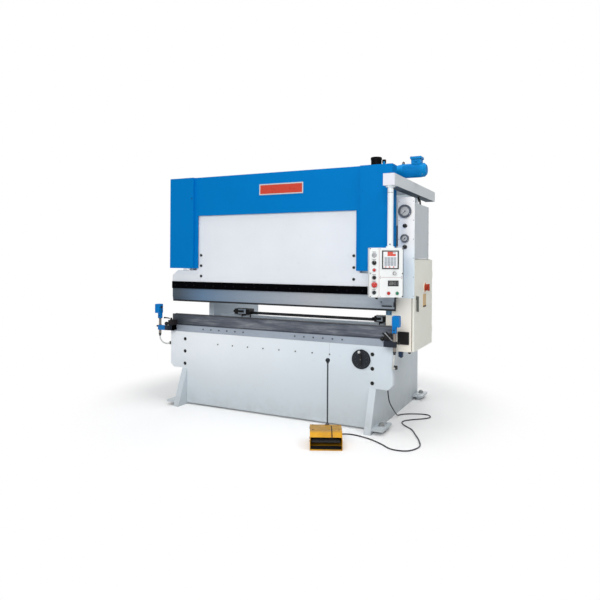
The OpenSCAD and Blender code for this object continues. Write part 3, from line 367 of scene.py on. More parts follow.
LOOKS = {
    frame_paint: "side_frames cross_ties back_gauge_beam",
    zinc: "levelling_feet pipework",
    bed_paint_with_painted_light: "bed_plate",
    black_steel: "bed_fasteners ram_bolts upper_needle lower_needle",
    table_steel: "die_table",
    die_steel: "die",
    bare_steel: "ram_guides motor_rotor pressure_gauges back_gauge_rails",
    plate_paint: "ram_plate",
    black_paint: "punch_clamp",
    punch_edge_steel: "punch",
    chrome: "piston_rods",
    motor_blue: "cylinder_barrels pump motor_case",
    cover_blue: "front_cover cylinder_housings hydraulic_tank tank_lid",
    silver: "nameplate",
    cap_black: "filler_cap",
    arm_shaded_grey: "support_arm",
    pole_paint: "pendant_pole",
    pendant_white: "pendant_case",
    dark_plastic: "pendant_display left_lower_button",
    grey_plastic: "key_selector speed_knob",
    black_plastic: "mode_selector left_upper_button upper_valve_knob lower_valve_knob left_guard_knob "
        "right_guard_knob pedal_treadle",
    red_plastic: "emergency_stop stop_button",
    green_plastic: "start_button",
    panel_tint: "gauge_panel",
    box_grey: "gauge_box",
    front_cream: "electric_cabinet",
    door_cream: "cabinet_door",
    handle_dark: "door_handle",
    switch_red: "isolator_switch",
    dial_black: "crowning_dial",
    bracket_pair: "guard_brackets",
    guard_blue: "left_guard_head right_guard_head",
    hose_rubber: "left_guard_hose right_guard_hose",
    pedal_enamel: "pedal_guard",
    cord_rubber: "pedal_cord",
}
for look, nodes in LOOKS.items():
    for node in nodes.split():
        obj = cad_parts[node]
        if not obj.material_slots:
            obj.data.materials.append(look)
        for held in obj.material_slots:
            held.material = look


# ---- Making pieces ----

MM = Matrix.Scale(0.001, 4)
BED = Matrix.Translation((0, BED_FACE_Y, 0)) @ MM
PENDANT = Matrix.Translation(at(1304, -270, 0)) @ Matrix.Rotation(math.radians(27), 4, "Z") @ MM
PEDAL = Matrix.Translation(at(842, -558, 0)) @ Matrix.Rotation(math.radians(25), 4, "Z") @ MM
SIDES = (-1, 1)
SHARP_EDGE = math.radians(34)
STROKES = {
    "0": "abcdef", "1": "bc", "2": "abged", "3": "abgcd", "4": "fgbc",
    "5": "afgcd", "6": "afgedc", "7": "abc", "8": "abcdefg", "9": "abcdfg",
}
STROKE_LINES = {
    "a": ((0, 2), (1, 2)), "b": ((1, 1), (1, 2)), "c": ((1, 0), (1, 1)), "d": ((0, 0), (1, 0)),
    "e": ((0, 0), (0, 1)), "f": ((0, 1), (0, 2)), "g": ((0, 1), (1, 1)),
}


def spin(axis, h, a, b):
    """A point at height h along an axis, with a and b across it."""
    return {"X": (h, a, b), "Y": (a, h, b), "Z": (a, b, h)}[axis]


def around(n, r, start=0.0):
    """n points on a circle of radius r, the first at start degrees."""
    for i in range(n):
        a = math.radians(start + 360 / n * i)
        yield r * math.cos(a), r * math.sin(a)


def spread(lo, hi, n):
    """n even places from lo to hi."""
    return [lo + i * (hi - lo) / (n - 1) for i in range(n)]


def ball(r, start, end):
    """A turned profile that follows a ball of radius r between two angles."""
    return [(r * math.sin(math.radians(a)), r * math.cos(math.radians(a))) for a in range(start, end, 9)]


def each(*places):
    """Every point of a grid; a plain number stands for one place."""
    return product(*((p,) if isinstance(p, (int, float)) else p for p in places))


def catmull(points, steps):
    """Smooth curve through given points, as the CAD routes are made."""
    out = []
    n = len(points)
    for i in range(n - 1):
        a, b, c, d = (Vector(points[j]) for j in (max(i - 1, 0), i, i + 1, min(i + 2, n - 1)))
        for k in range(steps):
            t = k / steps
            out.append((2 * b + (c - a) * t + (2 * a - 5 * b + 4 * c - d) * t * t
                        + (3 * b - a - 3 * c + d) * t ** 3) / 2)
    return out + [Vector(points[-1])]


def circle(part, centre, axis, r, h, sides, teeth):
    """A ring of vertices about an axis; every second one is set in by the depth of the teeth."""
    ring = []
    for s in range(sides):
        a, rr = 2 * math.pi * s / sides, r - teeth * (s % 2)
        step = spin(axis, h, rr * math.cos(a), rr * math.sin(a))
        ring.append(part.verts.new([c + d for c, d in zip(centre, step)]))
    return ring


def skin(part, rings):
    """Faces between neighbouring rings; a ring of one vertex is a tip."""
    for a, b in zip(rings, rings[1:]):
        sides = max(len(a), len(b))
        for s, t in zip(range(sides), [*range(1, sides), 0]):
            corners = dict.fromkeys((a[s % len(a)], a[t % len(a)], b[t % len(b)], b[s % len(b)]))
            if len(corners) > 2:
                part.faces.new(list(corners))


def soften(part, width):
    """Bevels every edge."""
    bmesh.ops.bevel(part, geom=part.edges[:], offset=width, segments=2, profile=0.6, affect="EDGES")


class Kit:
    """One detailed piece in millimetres. An optional turn is (degrees, axis, pivot)."""

    def __init__(self, name, body, place=BED):
        self.name, self.body, self.place = name, body, place
        self.materials = []
        self.bm = bmesh.new()

    def take(self, part, mat, turn=None):
        """Adds a small mesh in one material."""
        if turn:
            angle, axis, pivot = turn
            pivot = Vector(pivot)
            part.transform(Matrix.Translation(pivot) @ Matrix.Rotation(math.radians(angle), 4, axis)
                           @ Matrix.Translation(-pivot))
        bmesh.ops.recalc_face_normals(part, faces=part.faces)
        if mat not in self.materials:
            self.materials.append(mat)
        for f in part.faces:
            f.material_index = self.materials.index(mat)
        mesh = bpy.data.meshes.new("part")
        part.to_mesh(mesh)
        part.free()
        self.bm.from_mesh(mesh)
        bpy.data.meshes.remove(mesh)

    def block(self, a, b, mat, bevel=0.8, turn=None):
        """A block between two opposite corners."""
        lo, hi = [min(p) for p in zip(a, b)], [max(p) for p in zip(a, b)]
        part = bmesh.new()
        bmesh.ops.create_cube(part, size=1)
        size = [hi[i] - lo[i] for i in range(3)]
        for v in part.verts:
            v.co = Vector([lo[i] + (v.co[i] + 0.5) * size[i] for i in range(3)])
        if bevel:
            soften(part, min(bevel, 0.4 * min(size)))
        self.take(part, mat, turn)

    def plates(self, axis, near, far, mat, bevel, *boxes):
        """Blocks that lie in one face across an axis, each drawn as (a0, b0, a1, b1)."""
        for a0, b0, a1, b1 in boxes:
            self.block(spin(axis, near, a0, b0), spin(axis, far, a1, b1), mat, bevel)

    def wheel(self, angles, axis, pivot, a, b, mat, bevel=0.8):
        """One block repeated about an axis, at angles in degrees."""
        for angle in angles:
            self.block(a, b, mat, bevel, (angle, axis, pivot))

    def prism(self, outline, axis, lo, hi, mat, bevel):
        """Extrudes a drawing across an axis."""
        part = bmesh.new()
        rings = [[part.verts.new(spin(axis, h, a, b)) for a, b in outline] for h in (lo, hi)]
        part.faces.new(rings[0])
        part.faces.new(rings[1][::-1])
        skin(part, rings)
        soften(part, bevel)
        self.take(part, mat)

    def turned(self, centre, axis, profile, mat, sides=32, teeth=0.0):
        """Turns a profile of (radius, height) about an axis."""
        part = bmesh.new()
        rings = [circle(part, centre, axis, r, h, sides if r else 1, teeth) for r, h in profile]
        skin(part, rings)
        for ring in (rings[0], rings[-1]):
            if len(ring) > 2:
                part.faces.new(ring)
        self.take(part, mat)

    def disc(self, centre, axis, r, h0, h1, mat, sides=32):
        self.turned(centre, axis, [(r, h0), (r, h1), (0, h1)], mat, sides)

    def ring(self, centre, axis, outer, inner, h0, h1, mat, sides=40, teeth=0.0, chamfer=0.5):
        """Closed ring between two heights, with teeth on its rim."""
        c, up = chamfer, math.copysign(chamfer, h1 - h0)
        part = bmesh.new()
        rings = [circle(part, centre, axis, r, h, sides, deep) for r, h, deep in (
            (inner, h0, 0), (outer - c, h0, 0), (outer, h0 + up, teeth), (outer, h1 - up, teeth), (outer - c, h1, 0),
            (inner + c, h1, 0), (inner, h1 - up, 0))]
        skin(part, rings + rings[:1])
        self.take(part, mat)

    def tube(self, points, radius, mat, sides=12, steps=4, closed=False):
        """Round bar along a smooth route, capped unless the route is closed.

        The radius may be a function of the place from 0 to 1.
        """
        route = catmull(points, steps) if steps > 1 else [Vector(p) for p in points]
        part = bmesh.new()
        rings = []
        side = None
        n = len(route)
        for i, p in enumerate(route):
            ahead = (route[min(i + 1, n - 1)] - route[max(i - 1, 0)]).normalized()
            if side is None:
                side = ahead.cross(Vector((0, 0, 1)) if abs(ahead.z) < 0.9 else Vector((0, 1, 0)))
            side = (side - ahead * side.dot(ahead)).normalized()
            up = side.cross(ahead)
            r = radius(i / (n - 1)) if callable(radius) else radius
            rings.append([part.verts.new(p + r * (math.cos(a) * side + math.sin(a) * up))
                          for a in (2 * math.pi * s / sides for s in range(sides))])
        skin(part, rings)
        if not closed:
            part.faces.new(rings[0])
            part.faces.new(rings[-1])
        self.take(part, mat)

    def eye(self, centre, r, mat, sides):
        """The loop of a lifting eye."""
        x, y, z = centre
        angles = (2 * math.pi * s / sides for s in range(sides + 1))
        self.tube([(x + r * math.cos(a), y, z + r * math.sin(a)) for a in angles], 5, mat, 12, 1, closed=True)

    def screws(self, xs, ys, zs, axis, r, mat, out=-1, dome=False, sides=24):
        """Socket or domed screw heads at every point of a grid, standing out along an axis."""
        h = r * 0.62
        top = [(r * 0.55, h * 0.93), (0, h)] if dome else [(r * 0.5, h), (r * 0.46, h * 0.35), (0, h * 0.35)]
        profile = [(r, 0), (r, h * 0.72), (r * 0.9, h * (0.78 if dome else 0.9))] + top
        for point in each(xs, ys, zs):
            self.turned(point, axis, [(a, out * b) for a, b in profile], mat, sides)

    def hexbolt(self, centre, r, mat):
        """Hexagon head on a washer, facing -X."""
        self.turned(centre, "X", [(r * 1.25, 0), (r * 1.25, -r * 0.15), (r * 0.9, -r * 0.2)], mat, 24)
        self.turned(centre, "X", [(r, -r * 0.15), (r, -r * 0.7), (r * 0.82, -r * 0.82), (0, -r * 0.84)], mat, 6)

    def number(self, text, centre, height, mat, thick=0.25):
        """Plain numerals made of strokes, on a face across Y."""
        x, y, z = centre
        w, gap, t = height * 0.5, height * 0.26, height * 0.12
        total = len(text) * w + (len(text) - 1) * gap
        for i, ch in enumerate(text):
            x0 = -total / 2 + i * (w + gap)
            for stroke in STROKES[ch]:
                (ax, az), (bx, bz) = STROKE_LINES[stroke]
                z1, z2 = (az - 1) * height / 2, (bz - 1) * height / 2
                self.block((x + (x0 + ax * w) - t / 2, y - thick, z + z1 - t / 2),
                           (x + (x0 + bx * w) + t / 2, y, z + z2 + t / 2), mat, 0)

    def done(self):
        self.bm.transform(self.place)
        mesh = bpy.data.meshes.new(self.name)
        self.bm.to_mesh(mesh)
        self.bm.free()
        for m in self.materials:
            mesh.materials.append(m)
        mesh.shade_smooth()
        mesh.set_sharp_from_angle(angle=SHARP_EDGE)
        piece = add(self.name, mesh)
        piece.modifiers.new("normals", "WEIGHTED_NORMAL").keep_sharp = True
        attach(piece, self.body)
        return piece


# ---- Covers, ram and bed ----

def cover_details():
    k = Kit("cover_details", "machine")
    lo, hi = box_of("nameplate")
    k.block((lo.x + 11, lo.y - 1.4, lo.z + 11), (hi.x - 11, lo.y + 0.3, hi.z - 11), red_enamel, 1.2)
    k.plates("Y", lo.y - 2.2, lo.y + 0.3, silver, 0.8,
             (lo.x, lo.z, hi.x, lo.z + 7), (lo.x, hi.z - 7, hi.x, hi.z),
             (lo.x, lo.z + 6, lo.x + 7, hi.z - 6), (hi.x - 7, lo.z + 6, hi.x, hi.z - 6))
    k.screws((lo.x + 3.5, hi.x - 3.5), lo.y - 2, (lo.z + 3.5, hi.z - 3.5), "Y", 2.6, bare_steel, dome=True, sides=12)
    front, back = box_of("front_cover")
    k.screws((front.x + 9, back.x - 9), front.y, spread(front.z + 70, back.z - 70, 11), "Y", 3.4, cover_blue,
             dome=True, sides=16)
    k.screws(spread(front.x + 60, back.x - 60, 13), back.y - 22, back.z, "Z", 5, cover_blue, 1)
    front, back = box_of("cylinder_housings")
    side_back = 100
    for side in SIDES:
        k.screws(side * (back.x - 2.2), (front.y + 14, side_back - 14), spread(front.z + 60, back.z - 60, 5), "X", 4,
                 black_steel, side, sides=16)
        k.block((side * (back.x - 6), side_back - 5, front.z + 1),
                (side * (back.x - 0.5), side_back - 0.2, back.z - 1), cover_blue, 0.6)
        k.screws([-side * (front.x + d) for d in (18, 290)], front.y + 4, (front.z + 14, back.z - 14), "Y", 3.4,
                 cover_blue, dome=True, sides=16)
    k.turned((front.x + 289, front.y + 4, lo.z), "Y", [(6, 0), (6, -3), (5, -3.8), (0, -3.8)], black_plastic, 20)
    k.done()


def ram_details():
    k = Kit("ram_details", "ram")
    lo, hi = box_of("ram_bolts")
    for side, n in each(SIDES, range(3)):
        x, z = side * (hi.x - 13), lo.z + 13 + n * 110
        k.ring((x, hi.y, z), "Y", 13.4, 6.6, 0, -8.5, black_steel, 36)
        k.disc((x, hi.y - 5, z), "Y", 6.6, 0.2, -0.6, seam_dark, 6)
    lo, hi = box_of("punch_clamp")
    pitch = 251
    for n, dx in each(range(-5, 6), (-49, 49)):
        x = pitch * n + dx
        if abs(x) < hi.x - 12:
            k.ring((x, lo.y, lo.z + 34), "Y", 6, 3, 0.2, -2.6, clamp_grey, 24)
            k.disc((x, lo.y - 0.4, lo.z + 34), "Y", 3, 0.6, -0.2, black_paint, 6)
    for n in range(-4, 5):
        x = pitch * n
        k.block((x - 60, lo.y - 0.9, lo.z + 8), (x + 60, lo.y + 0.2, lo.z + 20), black_paint, 0.5)
        k.screws(x, hi.y, lo.z + 38, "Y", 7, black_steel, 1)
    lo, hi = box_of("ram_plate")
    k.screws((-790, 790), hi.y, [lo.z + 180 + n * 180 for n in range(4)], "Y", 9, black_steel, 1)
    k.screws((-1120, 1120), hi.y, lo.z + 62, "Y", 8, black_steel, 1)
    lo, hi = box_of("piston_rods")
    for side in SIDES:
        for a, b in around(6, 44, 30):
            k.screws(side * (hi.x - 53) + a, (lo.y + hi.y) / 2 + b * 0.62, lo.z + 20, "Z", 5, black_steel, 1)
    right = box_of("punch")[1].x
    for x in (right - 137, right - 7):
        k.turned((x, 37, 1175), "Y", [(9, 0.2), (9, -2), (6.5, -3.4), (5.4, -3.4)], dark_plastic, 20)
    k.tube([(right - 120, 12, 1142), (right - 72, 12, 1142), (right - 24, 12, 1142)], 6.4, dark_plastic, 16, 1)
    k.done()


def bed_details():
    k = Kit("bed_details", "machine")
    lo, hi = box_of("bed_plate")
    k.block((633.4, lo.y - 0.5, 668), (634.8, lo.y + 0.2, hi.z - 0.5), seam_grey, 0.15)
    k.screws([-635 + n * 181.4 for n in range(8)], lo.y - 3.6, hi.z - 110, "Y", 6.2, dull_zinc, dome=True, sides=20)
    for x, down in each((-1059, 1059), (78, 209, 342)):
        k.ring((x, lo.y + 1.2, hi.z - down), "Y", 20.6, 18.4, 0, -1.4, plate_paint, 36, chamfer=0.3)
    lo, hi = box_of("die_table")
    for x, n in each((-823, 265), range(6)):
        k.ring((x + n * 99.5, lo.y, lo.z + (hi.z - lo.z) * 0.56), "Y", 8.2, 4.2, 0.2, -4.2, hole_grey, 24)
    k.block((lo.x + 3, lo.y - 1.1, lo.z + 0.6), (hi.x - 3, lo.y + 0.2, lo.z + 3), seam_grey, 0.3)
    lo, hi = box_of("die")
    k.screws([-1145 + n * 208 for n in range(12)], hi.y, lo.z + 40, "Y", 6, black_steel, 1)
    for side in SIDES:
        k.block((side * (hi.x - 0.2), lo.y + 3, lo.z + 16), (side * (hi.x + 1.6), hi.y - 3, lo.z + 76),
                black_steel, 0.6)
    k.done()


def foot_details():
    k = Kit("foot_details", "machine")
    lo, hi = box_of("levelling_feet")
    thread = [(15.6 - (n % 2) * 1.3, 76 + n * 1.2) for n in range(6)]
    for side in SIDES:
        x = side * (hi.x - 38)
        for y in (lo.y + 38, hi.y - 38):
            k.turned((x, y, 0), "Z", [(13, 75), *thread, (12.5, hi.z + 0.5), (0, hi.z + 0.7)], zinc, 24)
            k.ring((x, y, 0), "Z", 32, 15.6, 54, 57.4, bare_steel, 36)
            k.ring((x, y, 0), "Z", 37.6, 17, 12, 15, zinc, chamfer=1)
            k.turned((x, y, 0), "Z", [(25, 75), (22, 77.4), (15.7, 77.6)], zinc)
        for y in (100, 1340):
            k.ring((x, y, 0), "Z", 27, 14.6, 54, 56.4, bare_steel, 36)
    k.done()


def cylinder_details():
    k = Kit("cylinder_details", "machine")
    lo, hi = box_of("cylinder_barrels")
    pipe_top = box_of("pipework")[1].z
    tank_front = box_of("hydraulic_tank")[0].y
    for side in SIDES:
        x, y = side * 1062, 50
        for a, b in around(8, 60, 22.5):
            k.screws(x + a, y + b, lo.z, "Z", 4.6, black_steel)
        k.ring((x, y, 0), "Z", 67.5, 65, lo.z + 46, lo.z + 54, motor_blue, 48)
        for z in (hi.z + 105, pipe_top - 62):
            k.turned((x, 105, z), "Z", [(18, 0), (18, 16), (15, 18), (13, 18), (13, 30), (11.4, 32)], zinc, 6)
        k.turned((side * 960, tank_front - 24, pipe_top - 15), "Y", [(14, 0), (14, 6), (18, 8), (18, 24)], zinc, 6)
        k.screws((x - 32, x + 32), y - 45, (hi.z + 14, hi.z + 110), "Y", 6, black_steel)
    k.screws((-885, 885), 130, (1536, 1620, 1896, 1980), "Y", 8, black_steel)
    k.done()


# ---- Tank, pump and motor ----

def tank_details():
    k = Kit("tank_details", "machine")
    lo, hi = box_of("tank_lid")
    tank_lo, tank_hi = box_of("hydraulic_tank")
    top, back, base = tank_hi.z + 10, tank_hi.y, tank_lo.z
    k.screws(spread(lo.x + 20, hi.x - 20, 15), (lo.y + 14, hi.y - 14), top, "Z", 5.5, zinc, 1)
    k.screws((20 - hi.x, hi.x - 20), (lo.y + 150, lo.y + 270), top, "Z", 5.5, zinc, 1)
    y = 410
    for x in (-720, 640):
        k.turned((x, y, top), "Z", [(17, 0), (17, 5), (11, 8), (8, 14)], zinc, 28)
        k.eye((x, y, top + 31), 19, zinc, 20)
    k.turned((-300, y, top), "Z", [(72, 0), (72, 5), (66, 7), (66, 8), (30, 9), (0, 9)], cover_blue, 48)
    for a, b in around(8, 60):
        k.screws(a - 300, y + b, top + 7.6, "Z", 4, zinc, 1, sides=16)
    k.block((-540, back - 0.4, base + 90), (-500, back + 9, base + 250), zinc, 2)
    k.block((-531, back + 8, base + 106), (-509, back + 11, base + 234), sight_glass, 1.5)
    for z in (base + 98, base + 242):
        k.turned((-520, back + 8, z), "Y", [(7, 0), (7, 4), (0, 4.4)], zinc, 6)
    k.turned((700, back, base + 40), "Y", [(20, 0), (20, 10), (16, 13), (12, 13), (12, 20), (0, 21)], zinc, 6)
    for x in (-900, -300, 300, 900):
        k.block((x - 20, back - 0.3, base), (x + 20, back + 4, base + 60), cover_blue, 1)
        k.screws(x, back + 4, base + 30, "Y", 7, black_steel, 1)
    k.done()


def cap_details():
    k = Kit("filler_details", "filler_cap_body")
    lo, hi = box_of("filler_cap")
    x, y = (lo.x + hi.x) / 2, (lo.y + hi.y) / 2
    base = hi.z - 95
    k.wheel([360 * n / 28 for n in range(28)], "Z", (x, y, 0), (x + 50.5, y - 1.8, base + 5),
            (x + 53, y + 1.8, hi.z - 27), cap_black, 0.6)
    k.turned((x, y, hi.z - 5), "Z", [(51, 4.3), (46, 4.9), (30, 4.9), (29, 4.6), (0, 4.6)], cap_black, 48)
    k.ring((x, y, base), "Z", 53.6, 50, 2, 5, grey_plastic, 48)
    k.done()
    k = Kit("tank_breather", "machine")
    top = box_of("hydraulic_tank")[1].z + 10
    k.turned((1006, y, top), "Z", [(15, 0), (15, 10), (11, 13), (11, 140), (15, 143), (15, 170), (20, 174),
                                   (20, 204), (17, 208), (0, 209)], cap_black, 24)
    k.turned((1006, y, top), "Z", [(18, 0), (18, 7), (13, 9)], zinc, 6)
    k.done()


def motor_details():
    k = Kit("motor_details", "machine")
    hi = box_of("motor_case")[1]
    y, z, r, bell_r, x0, x1 = 350, 2410, 65, 74, 1235, 1420
    k.wheel([a for a in range(0, 360, 10) if not 48 <= a <= 132], "X", (0, y, z), (x0 + 8, y + r - 3, z - 1.6),
            (x1 - 8, y + r + 3.5, z + 1.6), motor_blue)
    for a, b in around(8, 65, 22.5):
        k.hexbolt((1137, y + a, z + b), 6, zinc)
        k.turned((1151, y + a, z + b), "X", [(7, 0), (7, 6), (4, 7), (4, 11), (0, 11)], zinc, 6)
    for x in (x0, x1):
        k.ring((x, y, z), "X", r + 2, r - 3, -6, 5, motor_blue, 56, chamfer=1.5)
    for a, b in around(4, r, 45):
        k.screws(x1 + 12, y + a, z + b, "X", 4.5, zinc, 1)
    k.disc((hi.x - 2.6, y, z), "X", 20, 0, 0.4, motor_blue)
    for grille_r in (24, 31, 38, 44):
        k.ring((hi.x - 0.8, y, z), "X", grille_r + 1.6, grille_r - 1.6, 0, 1.6, motor_blue, 48, chamfer=0.4)
    k.wheel(range(0, 360, 45), "X", (0, y, z), (hi.x - 0.8, y + 20, z - 1.2), (hi.x + 0.6, y + 46, z + 1.2),
            motor_blue, 0.3)
    k.block((1319, y - 51, hi.z - 0.3), (1421, y + 51, hi.z + 2), motor_blue, 1.6)
    k.block((1323, y - 47, hi.z - 24.5), (1417, y + 47, hi.z - 21.5), seam_dark, 0.4)
    k.screws((1326, 1414), (y - 44, y + 44), hi.z + 1.6, "Z", 4.5, zinc, 1, sides=16)
    k.turned((1370, y - 45, hi.z - 44), "Y", [(13, 0), (13, -8), (11, -10), (9, -10), (9, -18), (6, -20), (0, -20)],
             motor_blue, 6)
    k.turned((1240, y, z + r - 1), "Z", [(15, 0), (15, 5), (9, 8)], black_steel, 24)
    k.eye((1240, y, z + r + 12), 8, black_steel, 18)
    k.screws((1044, 1088), y - bell_r + 1, z, "Y", 6, zinc)
    k.ring((1035, y, z), "X", bell_r + 2, bell_r - 4, 0, 8, motor_blue, 56, chamfer=2)
    k.ring((930, y, z), "X", 52.5, 46, -2, 10, motor_blue, 48, chamfer=2)
    for a, b in around(6, 38):
        k.screws(929.5, y + a, z + b, "X", 4.6, black_steel)
    k.done()


# ---- Support arm and pendant ----

PENDANT_FACE = -50
BUTTON_X = -143.5


def arm_details():
    k = Kit("arm_details", "machine")
    lo, hi = box_of("support_arm")
    x0 = hi.x - 100
    # painted light: the arm's front end in the lit copy of the arm's paint
    k.block((x0 - 0.8, lo.y - 2.2, lo.z - 0.8), (hi.x + 0.8, lo.y + 3.5, hi.z + 0.8), arm_lit_white, 1.6)
    k.block((x0 + 1, hi.y - 1, lo.z + 1), (hi.x - 1, hi.y + 4, hi.z - 1), black_plastic, 2)
    # painted shade: a dark sheet on the arm's underside, where shade falls
    k.block((x0 + 5, lo.y + 108, lo.z - 1.2), (hi.x - 5, hi.y - 8, lo.z + 0.3), arm_underside_shade, 0.4)
    for y in (500, 1040):
        for dy, z in each((18, 72), (lo.z + 32, hi.z - 32)):
            k.hexbolt((x0, y + dy, z), 7.5, dull_zinc)
        for weld in (y, y + 90):
            k.tube([(1096, weld, lo.z + 20), (1096, weld, hi.z - 20)], 3, frame_paint, 8, 1)
    k.screws((x0 + 20, hi.x - 20), (-290, -250), hi.z, "Z", 5, dull_zinc, 1)
    k.turned((x0 + 50, -270, hi.z), "Z", [(30, 0), (30, 3), (26, 5), (12, 6), (12, 12), (0, 13)], dull_zinc)
    k.done()


def pendant_details():
    z0, z1 = (corner.z for corner in box_of("pendant_case"))
    x0, x1, face = -182.5, 102.5, PENDANT_FACE
    k = Kit("pendant_details", "pendant", PENDANT)
    k.plates("Y", face - 0.7, face + 0.2, seam_rose, 0.2,
             (-102.6, z0 + 5, -99.4, z1 - 5), (-99.6, 1412.6, x1 - 5, 1415.4))
    k.block((x1 - 3.4, face - 1.0, z0 + 2), (x1 + 1.0, face + 4.5, z1 - 2), seam_dark, 0.5)
    k.plates("Y", -8, -6.6, seam_grey, 0.2, (x0 - 0.8, z0 + 2, x0 + 0.3, z1 - 2), (x1 - 0.3, z0 + 2, x1 + 0.8, z1 - 2))
    k.screws((x0 + 7, x1 - 7), face, (z0 + 8, 1447, z1 - 8), "Y", 4.6, dark_plastic, dome=True, sides=18)
    k.screws((-110, -91), face, (z0 + 9, z1 - 9), "Y", 2.8, dull_zinc, dome=True, sides=16)
    k.screws((-91, x1 - 14), face, (1405, 1423), "Y", 2.6, dull_zinc, dome=True, sides=16)
    for z, r, bore in ((1600, 19, 8.6), (1536, 19, 8.6), (1411, 17, 14.8), (1286, 17, 14.8), (1351, 22, 12.2)):
        k.ring((BUTTON_X, face, z), "Y", r + 1.4, bore, 0.2, -1.5, grey_plastic, chamfer=0.4)
        k.block((BUTTON_X - 15, face - 0.5, z + r + 5), (BUTTON_X + 15, face + 0.2, z + r + 11), seam_grey, 0.2)
    for x, z, r, bore in ((28.5, 1448, 15, 8.6), (-20.5, 1280, 14, 13.6), (51.5, 1280, 14, 13.6)):
        k.ring((x, face, z), "Y", r + 1, bore, 0.2, -1.5, grey_plastic, chamfer=0.3)
    k.ring((BUTTON_X, face, 1475), "Y", 18, 12, 0.2, -5, chrome, chamfer=0.6)
    k.turned((BUTTON_X, face, 1475), "Y", [(14, -3.6), (14, -6), (12, -9.5), (8, -12), (0, -13)], red_lens)
    for n in range(11):
        a = math.radians(-135 + 27 * n)
        x, z = 28.5 + 20.5 * math.sin(a), 1448 + 20.5 * math.cos(a)
        k.wheel([math.degrees(a)], "Y", (x, face, z), (x - 0.45, face - 0.4, z - 2), (x + 0.45, face + 0.2, z + 2),
                seam_dark, 0)
    # painted shade: dark strips stand for the vent slots, where shade falls
    k.plates("Y", 49.8, 51, seam_dark, 0.4, *((x0 + 60 + n * 18, z1 - 80, x0 + 66 + n * 18, z1 - 30) for n in range(7)))
    k.turned((-110, 20, z0), "Z", [(16, 0), (16, -6), (13, -8), (13, -14), (9, -20), (0, -20)], black_plastic, 6)
    k.turned((60, 20, z0), "Z", [(13, 0), (13, -6), (10, -8), (10, -12), (0, -12)], black_plastic, 6)
    for x, z in each((x0 + 20, x1 - 20), (z0 + 60, z1 - 60)):
        k.turned((x, 50, z), "Y", [(8, 0), (8, 5), (6, 7), (0, 7)], chrome, 20)
    k.done()


def screen_details():
    """The upper screen with a plain table of numbers, and the counter below it."""
    k = Kit("pendant_screen", "pendant", PENDANT)
    f = PENDANT_FACE - 3
    k.plates("Y", f - 2.4, f + 0.2, black_plastic, 1.6,
             (-77, 1484, 64, 1493), (-77, 1631, 64, 1640), (-77, 1490, -67.5, 1634), (53.5, 1490, 64, 1634))
    k.plates("Y", f - 0.6, f + 0.2, screen_glow, 0.3, (-68.5, 1492, 54.5, 1632))
    k.plates("Y", f - 0.9, f - 0.4, screen_red, 0.15, (-32, 1612, 14, 1629), (-32, 1594, 38, 1611),
             *((x, 1497, x + 12, 1506) for x in (-52, -20, 14)))
    k.plates("Y", f - 0.9, f - 0.4, screen_grey, 0.15, (-58, 1510, 42, 1586))
    k.plates("Y", f - 1.05, f - 0.8, screen_glow, 0, *((-58, 1519 + n * 12.4, 42, 1520 + n * 12.4) for n in range(6)),
             *((x, 1510, x + 2, 1586) for x in (-34, -8, 18)))
    for row, digits in enumerate(("12", "30", "85", "40", "16", "75")):
        for col, text in enumerate((digits, digits[::-1], digits)):
            k.number(text, (-46 + col * 26, f - 0.9, 1513.5 + row * 12.4), 6, seam_dark)
    k.number("2500", (27, f - 0.9, 1621), 7, seam_dark)
    f = PENDANT_FACE - 2
    k.plates("Y", f - 1.6, f + 0.2, black_plastic, 0.8,
             (-27, 1339.5, 63, 1345), (-27, 1382, 63, 1387.5), (-27, 1342, -20.5, 1385), (56.5, 1342, 63, 1385))
    for n, digit in enumerate("28401"):
        k.number(digit, (-8 + n * 13.5, f - 0.1, 1364), 25, digit_grey, 0.5)
    k.done()


def pole_details():
    k = Kit("pole_details", "pendant", PENDANT)
    z0, z1 = (corner.z for corner in box_of("pendant_pole"))
    k.ring((0, 0, z0), "Z", 37.5, 25.2, 0, 5, pole_paint, 48, chamfer=1)
    for x, y in around(6, 30.5, 30):
        k.screws(x, y, z0 + 14, "Z", 3, dull_zinc, 1, sides=12)
    for x, y in around(6, 34, 30):
        k.screws(x, y, z1 - 12, "Z", 3.2, dull_zinc, sides=12)
    k.turned((-8, -30, z0 + 30), "Y", [(6.4, 0), (6.4, -3), (5, -4.4), (0, -4.6)], dull_zinc, 20)
    k.ring((0, 0, 0), "Z", 27, 25.2, z1 - 60, z1 - 56, seam_grey, 48, chamfer=0.4)
    k.done()


def grip(name):
    return Kit(name + "_grip", name + "_body", PENDANT)


